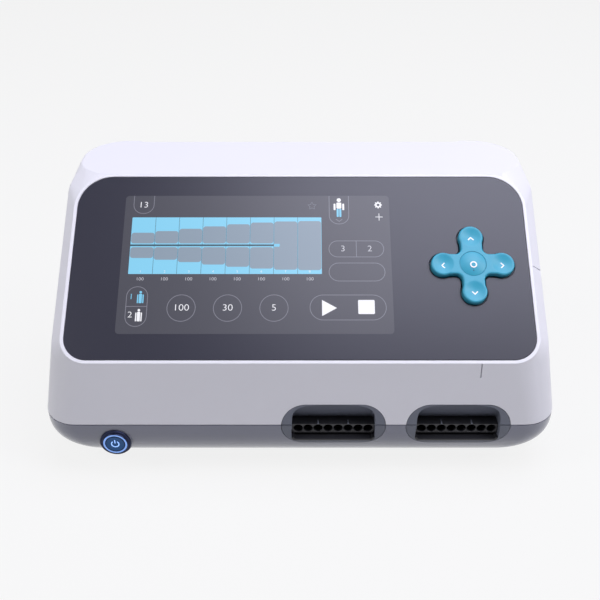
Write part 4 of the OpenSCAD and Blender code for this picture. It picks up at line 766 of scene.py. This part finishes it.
# The ring of light is a frosted lens in its groove, brightest in itself
light = turned("power_switch_light", SWITCH, [
    (LIGHT_IN + 0.03, 0.82), (LIGHT_IN + 0.03, 1.75), (LIGHT_IN + 0.2, 1.95), (LIGHT_OUT - 0.2, 1.95),
    (LIGHT_OUT - 0.03, 1.75), (LIGHT_OUT - 0.03, 0.82)])
light_lens = finish("frosted_light_ring", "7f9fd0", 0.4, shade=0.05, cloud=4, grain=0.3, depth=0.002,
                    Emission_Color=to_linear("7199e2"), Emission_Strength=0.75)
dress(light, light_lens)
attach(light, "housing")
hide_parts("power_light_ring")

profile = [(0.3, 1.72), (2.0, 1.74), (3.6, 1.82), (4.6, 1.95), (CAP_R - 0.3, 2.0), (CAP_R - 0.08, 1.9),
           (CAP_R, 1.7), (CAP_R, -3.9), (CAP_R - 0.2, -4.0)]
radii, heights = np.array(profile).T
cap = rod("power_switch_cap_turned", SWITCH_X, SWITCH_Z, radii, FRONT - heights, 360)
# The cap's anodising is a clearer blue than the rim's, so the cap stands out from it
cap_metal = finish("anodised_aluminium_blue", "245083", 0.32, shade=0.1, cloud=3, grain=0.2, depth=0.002,
                   Metallic=0.6)
dress(cap, cap_metal)
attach(cap, "switch_cap")
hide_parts("power_switch_cap")
arc = np.radians(np.linspace(125, 415, 41))
power = [ribbon(at_height(polar(2.1, arc), 1.79), 0.6),
         ribbon([[0, 0.5, 1.79], [0, 1.6, 1.82], [0, 2.9, 1.84]], 0.6)]
# The sign is cut through the cap and filled with clear resin, which glows evenly
lit_sign = finish("lit_power_sign", "9fc4ff", 0.4, shade=0.03, cloud=4, grain=0.3, depth=0.001,
                  Emission_Color=to_linear("8fbcff"), Emission_Strength=0.9)
inlay("power_sign", power, lit_sign, on_switch, "switch_cap")
coat("power_switch_nut", zinc_steel)

# ---------------------------------------------------------------- air connectors
# Each connector has a two-part bezel, flush with the casing, that scoops down to a black block with eight
# outlets. The scoop narrows and gets shallower towards its top, so that its edge fades into the bezel.

BLOCK_W, BLOCK_L, BLOCK_SET, BLOCK_DROP, BLOCK_FOOT, BLOCK_R = 47.0, 22.0, 4.0, 3.6, -13.1, 2.2
SCOOP_BACK, SCOOP_TOP, SCOOP_SIDE = 10.7, 12.1, 23.4
OUTLETS, OUTLET_R, OUTLET_L, OUTLET_PITCH, OUTLET_DROP, NIPPLE_R = 8, 2.55, 16.0, 5.7, 3.2, 1.45
RIB_L, RIB_H, LIP_IN, LIP_T = 3.2, 0.7, 0.8, 1.1
OUTLET_Z = PARTING - BLOCK_DROP - OUTLET_DROP
BLOCK_FRONT = FRONT + BLOCK_SET

# Slate ABS with a fine grain for the bezels, and nylon, blacker and a little shinier, for the blocks
port_grey = finish("moulded_abs_slate", "666a77", 0.42, shade=0.06, cloud=20, grain=0.45, depth=0.003)
block_black = finish("moulded_nylon_black", "26262b", 0.38, shade=0.15, cloud=8, grain=0.4, depth=0.004)


def block_outline(i, c):
    """Front view of a block, grown by c, with larger corners at its foot."""
    flat = outline(BLOCK_W / 2 + c, BLOCK_FOOT - c, c - BLOCK_DROP, BLOCK_R + c, 0.5 + c, 8)
    return flat + [PORT_X[i], PARTING]


def scoop(i):
    """Level loops from the block's top up: width and depth shrink as (1 - h^5)^0.3 and (1 - h)^0.8."""
    rings = []
    for h in np.linspace(0, 0.995, 22):
        z = -BLOCK_DROP + (SCOOP_TOP + BLOCK_DROP) * h
        half = SCOOP_SIDE * (1 - h ** 5) ** 0.3
        wall = FRONT_LEAN * max(z, 0) / FRONT_WALL
        back = wall + (SCOOP_BACK - wall) * (1 - h) ** 0.8
        r = 1.2 + 3.0 * h
        flat = outline(half, -3.0, back, 0.3, min(r, half - 0.1, (back + 2.6) / 2), 10) + [PORT_X[i], FRONT]
        rings.append(at_height(flat, PARTING + z))
    return loft("scoop", rings)


for i, side in enumerate(("left", "right")):
    for half, node in (("upper", f"{side}_port_bezel_upper"), ("lower", f"{side}_port_bezel_lower")):
        bezel = loft(f"{side}_bezel_{half}", [deep(stadium(i, c), FRONT + y) for c, y in (
            (-0.12, -2), (-0.12, PORT_DEEP - 0.2), (-0.3, PORT_DEEP))])
        if half == "upper":
            carve(bezel, upper_form("flush", fillets=UPPER_FILLETS), "INTERSECT")
        else:
            carve(bezel, tray("flush", 0.0, SEAM, LIP_FILLET, GAP_H), "INTERSECT")
        carve(bezel, scoop(i))
        carve(bezel, loft("window", [deep(block_outline(i, 0.15), y)
                                     for y in (FRONT - 3, FRONT + PORT_DEEP + 2)]))
        dress(bezel, port_grey)
        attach(bezel, "housing")
        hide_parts(node)

    block = loft(f"{side}_outlet_block", [deep(block_outline(i, c), BLOCK_FRONT + y) for c, y in (
        (-0.3, 0), (-0.08, 0.08), (0.0, 0.3), (0.0, BLOCK_L))])
    step = outline(BLOCK_W / 2 + 2, -4, 2.0, 0.3, 0.6, 4) + [PORT_X[i], BLOCK_FRONT]
    carve(block, loft("step", [at_height(step, z)
                               for z in (PARTING + BLOCK_FOOT - 1, OUTLET_Z - OUTLET_DROP + 0.1)]))
    for k in range(OUTLETS):
        x = PORT_X[i] + (k - (OUTLETS - 1) / 2) * OUTLET_PITCH
        carve(block, rod("nipple", x, OUTLET_Z, (NIPPLE_R, NIPPLE_R, NIPPLE_R - 0.15),
                         BLOCK_FRONT + BLOCK_L + np.array([-0.5, 4.8, 5]), 32), "UNION")
        carve(block, rod("bore", x, OUTLET_Z, (OUTLET_R + 0.7, OUTLET_R + 0.28, OUTLET_R, OUTLET_R, 0.8, 0.8),
                         BLOCK_FRONT + np.array([-0.42, 0, 0.28, OUTLET_L, OUTLET_L, BLOCK_L + 6]), 48))
    lip = np.concatenate([block_outline(i, 0.0)[16:], block_outline(i, -LIP_T)[:15:-1]])
    carve(block, loft("lip", [deep(lip, y) for y in (FRONT + LIP_IN, BLOCK_FRONT + 2.5)]), "UNION")
    dress(block, block_black)
    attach(block, "housing")
    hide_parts(f"{side}_port_block")

    # Two coding ribs on top of the block, tapered to the front and upwards
    ribs = []
    for x in (-1.5 * OUTLET_PITCH, 1.5 * OUTLET_PITCH):
        foot = [[x - 0.45, 0], [x + 0.45, 0], [x + 0.3, RIB_L], [x - 0.3, RIB_L]]
        head = [[x - 0.2, 0.4], [x + 0.2, 0.4], [x + 0.2, RIB_L - 0.2], [x - 0.2, RIB_L - 0.2]]
        points = np.concatenate([at_height(foot, 0), at_height(head, RIB_H)])
        ribs.append((points + [PORT_X[i], BLOCK_FRONT, PARTING - BLOCK_DROP], skin(2, 4)))
    # The ribs take the bezels' lighter slate grey: painted highlight for the light that catches their tops
    inlay(f"{side}_key_ribs_painted_highlight", ribs, port_grey, lambda points: points)

# ---------------------------------------------------------------- air system inside
# Silicone hoses lead from the outlets to a moulded manifold with eight solenoid valves, and from there to a
# linear pump: a cast frame with a coil on each side of a magnet that swings between two diaphragms.

# Filled nylon looks mottled, cast metal rough and dull, and the enamelled wire glints in fine rows; felt and
# rubber take no highlight, and turned brass a sharp one
manifold_pa = finish("moulded_glass_filled_nylon", "9b9fa6", 0.5, shade=0.12, cloud=6, grain=0.7, depth=0.02)
cast_metal = finish("sand_cast_aluminium", "a9acb2", 0.48, shade=0.12, cloud=7, grain=0.9, depth=0.05,
                    Metallic=0.8)
copper_winding = finish("enamelled_copper_winding", "b4683a", 0.35, shade=0.35, cloud=1.2, grain=0.5,
                        depth=0.08, stretch=(0.2, 8.0, 8.0), Metallic=0.7)
felt = finish("pressed_felt", "dcdccc", 0.95, shade=0.15, cloud=1.5, grain=0.3, depth=0.12)
rubber = finish("moulded_rubber", "1b1b1d", 0.8, shade=0.2, cloud=5, grain=0.5, depth=0.02)
turned_brass = finish("turned_brass", "c9a24f", 0.3, shade=0.1, cloud=2, grain=0.25, depth=0.004,
                      Metallic=1.0)
epoxy_black = finish("moulded_epoxy_black", "222326", 0.45, shade=0.25, cloud=4, grain=0.5, depth=0.01)
sensor_white = finish("moulded_sensor_white", "e4e4de", 0.45, shade=0.06, cloud=4, grain=0.4, depth=0.004)
for node, material in {
        "left_chamber_hoses": silicone, "right_chamber_hoses": silicone, "pump_feed_hoses": silicone,
        "left_manifold": manifold_pa, "right_manifold": manifold_pa, "manifold_screws": zinc_steel,
        "left_solenoid_valves": epoxy_black, "right_solenoid_valves": epoxy_black,
        "left_pump_housing": cast_metal, "right_pump_housing": cast_metal,
        "left_pump_heads": block_black, "right_pump_heads": block_black,
        "left_pump_coils": copper_winding, "right_pump_coils": copper_winding,
        "left_pump_armature": zinc_steel, "right_pump_armature": zinc_steel,
        "pump_rubber_mounts": rubber, "intake_filters": felt,
        "power_supply_board": board_green, "main_board": board_green, "board_standoffs": turned_brass,
        "power_supply_components": epoxy_black, "main_board_components": epoxy_black,
        "pressure_sensors": sensor_white, "board_screws": zinc_steel}.items():
    coat(node, material)

# ---------------------------------------------------------------- rear panel
# A textured ABS panel screwed over the opening in the rear, with cooling slots, a fan that blows out through
# round-ended slots, and a mains inlet with a drawer for its two fuses.

# The panel's coarse texture scatters light to a flat grey; the inlet is smoother, and tin and glass shine
panel_abs = finish("textured_abs_grey", "4a4b51", 0.6, shade=0.08, cloud=25, grain=0.6, depth=0.03)
inlet_pbt = finish("moulded_pbt_black", "1c1c1f", 0.4, shade=0.1, cloud=9, grain=0.5, depth=0.006)
tin_plate = finish("tin_plated_brass", "c9c9c2", 0.35, shade=0.12, cloud=2, grain=0.3, depth=0.004,
                   Metallic=1.0)
fuse_glass = finish("fuse_glass_and_caps", "c9cdd2", 0.15, shade=0.3, cloud=4, grain=0.3, depth=0.002)
for node, material in {"rear_panel": panel_abs, "fan_frame": epoxy_black, "fan_rotor": epoxy_black,
                       "mains_inlet": inlet_pbt, "fuse_drawer": inlet_pbt, "inlet_contacts": tin_plate,
                       "fuses": fuse_glass}.items():
    coat(node, material)
for node in ("mains_inlet", "fuse_drawer", "fan_frame", "left_manifold", "right_manifold"):
    soften(node, 0.25)

# Pan-head screws with a cross slot, in the corners of the rear panel
SCREW_X, SCREW_Z, SCREW_SEAT, HEAD_R, HEAD_H = 88.5, (49.5, 128.5), 75.4, 2.8, 1.2
heads = []
for x, z in [(side * SCREW_X, z) for side in (-1, 1) for z in SCREW_Z]:
    head = rod("head", x, z, (1.5, 1.5, HEAD_R, HEAD_R, 2.5, 1.7, 0.4),
               SCREW_SEAT + np.array([-8, 0, 0, 0.45, 0.8, 1.08, HEAD_H]), 40)
    for turn in np.radians((20, 110)):
        c, s = np.cos(turn), np.sin(turn)
        slot = np.array([[-1.5, -0.28], [1.5, -0.28], [1.5, 0.28], [-1.5, 0.28]]) @ [[c, s], [-s, c]] + [x, z]
        carve(head, loft("slot", [deep(slot, SCREW_SEAT + y) for y in (0.35, 2)]))
    heads.append(head)
screws = joined("rear_cross_head_screws", heads)
dress(screws, zinc_steel)
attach(screws, "housing")
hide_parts("rear_panel_screws")

# ---------------------------------------------------------------- feet and casing screws
# Four rubber feet pushed into the floor, and four long screws that hold the two casings together.

FOOT_X, FOOT_Y, FOOT_R, FOOT_H = 96.0, (-38.0, 34.0), 8.0, 3.0
rubber_feet = joined("rubber_feet_moulded", [
    post("foot", side * FOOT_X, y, FOOT_R - np.array([2.5, 2.2, 0.9, 0.3, 0, 0]),
         (0.25, 0, 0, 0.25, 0.9, FOOT_H), 64) for side in (-1, 1) for y in FOOT_Y])
dress(rubber_feet, rubber)
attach(rubber_feet, "housing")
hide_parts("rubber_feet")
coat("casing_screws", zinc_steel)

# ---------------------------------------------------------------- camera, light and floor
# A camera at the photograph's angle, a broad soft light overhead, and a pale floor.

camera = placed("camera", bpy.data.cameras.new("camera"))
camera.data.lens, camera.data.sensor_width = 50, 36
camera.location = (0, (FRONT - 354) * MM, (PARTING + 312.7) * MM)
camera.rotation_euler = (np.radians(57), 0, 0)
bpy.context.scene.camera = camera
bpy.context.scene.view_settings.view_transform = "Standard"


def unlit_rays(tree):
    """1 for the rays that only look: from the camera, mirrored or passed through; 0 for those that light."""
    rays = add(tree, "ShaderNodeLightPath").outputs
    seen = add(tree, "ShaderNodeMath", {0: rays["Is Camera Ray"], 1: rays["Is Glossy Ray"]},
               operation="MAXIMUM")
    return add(tree, "ShaderNodeMath", {0: seen.outputs[0], 1: rays["Is Transmission Ray"]},
               operation="MAXIMUM").outputs[0]


# Pale walls to about 20 degrees above the horizon, fading to a dark ceiling by 40
world = bpy.data.worlds.new("studio")
bpy.context.scene.world = world
world.use_nodes = True
tree = world.node_tree
direction = add(tree, "ShaderNodeSeparateXYZ", {0: add(tree, "ShaderNodeTexCoord").outputs["Generated"]})
walls = add(tree, "ShaderNodeMapRange", {"Value": direction.outputs["Z"], "From Min": 0.65, "From Max": 0.35})
walls = add(tree, "ShaderNodeMath", {0: walls.outputs["Result"], 1: unlit_rays(tree)}, operation="MULTIPLY")
bright = add(tree, "ShaderNodeMapRange", {"Value": walls.outputs[0], "To Min": 0.05, "To Max": 1.0})
tree.nodes["Background"].inputs["Color"].default_value = to_linear("f6f6f6")
tree.links.new(bright.outputs["Result"], tree.nodes["Background"].inputs["Strength"])


def area_light(name, place, aim, size, power, colour="ffffff"):
    """A square soft light at a place in metres, turned to face a point."""
    lamp = placed(name, bpy.data.lights.new(name, "AREA"))
    lamp.data.size, lamp.data.energy, lamp.data.color = size, power, to_linear(colour)[:3]
    lamp.location = place
    lamp.rotation_euler = (Vector(aim) - Vector(place)).to_track_quat("-Z", "Y").to_euler()


area_light("overhead", (0.35, 0.05, 1.5), (0, 0, 0.05), 1.0, 20, "ecedff")
area_light("front_right", (1.15, -0.4, 1.15), (0, 0, 0.08), 0.6, 10)
area_light("front_left", (-1.15, -0.4, 1.15), (0, 0, 0.08), 0.6, 9.5)

# The floor is matt and near white to the camera, and keeps the object's shadow
FLOOR_HALF, FLOOR_GLOW = 6.0, 0.86     # half width in metres, share of the floor's own brightness
corners = np.array([[-1, -1, 0], [1, -1, 0], [1, 1, 0], [-1, 1, 0]]) * FLOOR_HALF / MM
floor = mesh_piece("floor", corners, [(0, 1, 2, 3)])
pale = finish("pale_floor", "bcbcbc", 0.7, shade=0.0, depth=0.0)
tree = pale.node_tree
share = add(tree, "ShaderNodeMath", {0: unlit_rays(tree), 1: FLOOR_GLOW}, operation="MULTIPLY")
glow = add(tree, "ShaderNodeEmission", {"Color": to_linear("fefefe"), "Strength": 1.0})
both = add(tree, "ShaderNodeMixShader", {0: share.outputs[0], 1: tree.nodes["Principled BSDF"].outputs[0],
                                         2: glow.outputs[0]})
tree.links.new(both.outputs[0], tree.nodes["Material Output"].inputs["Surface"])
floor.data.materials.append(pale)
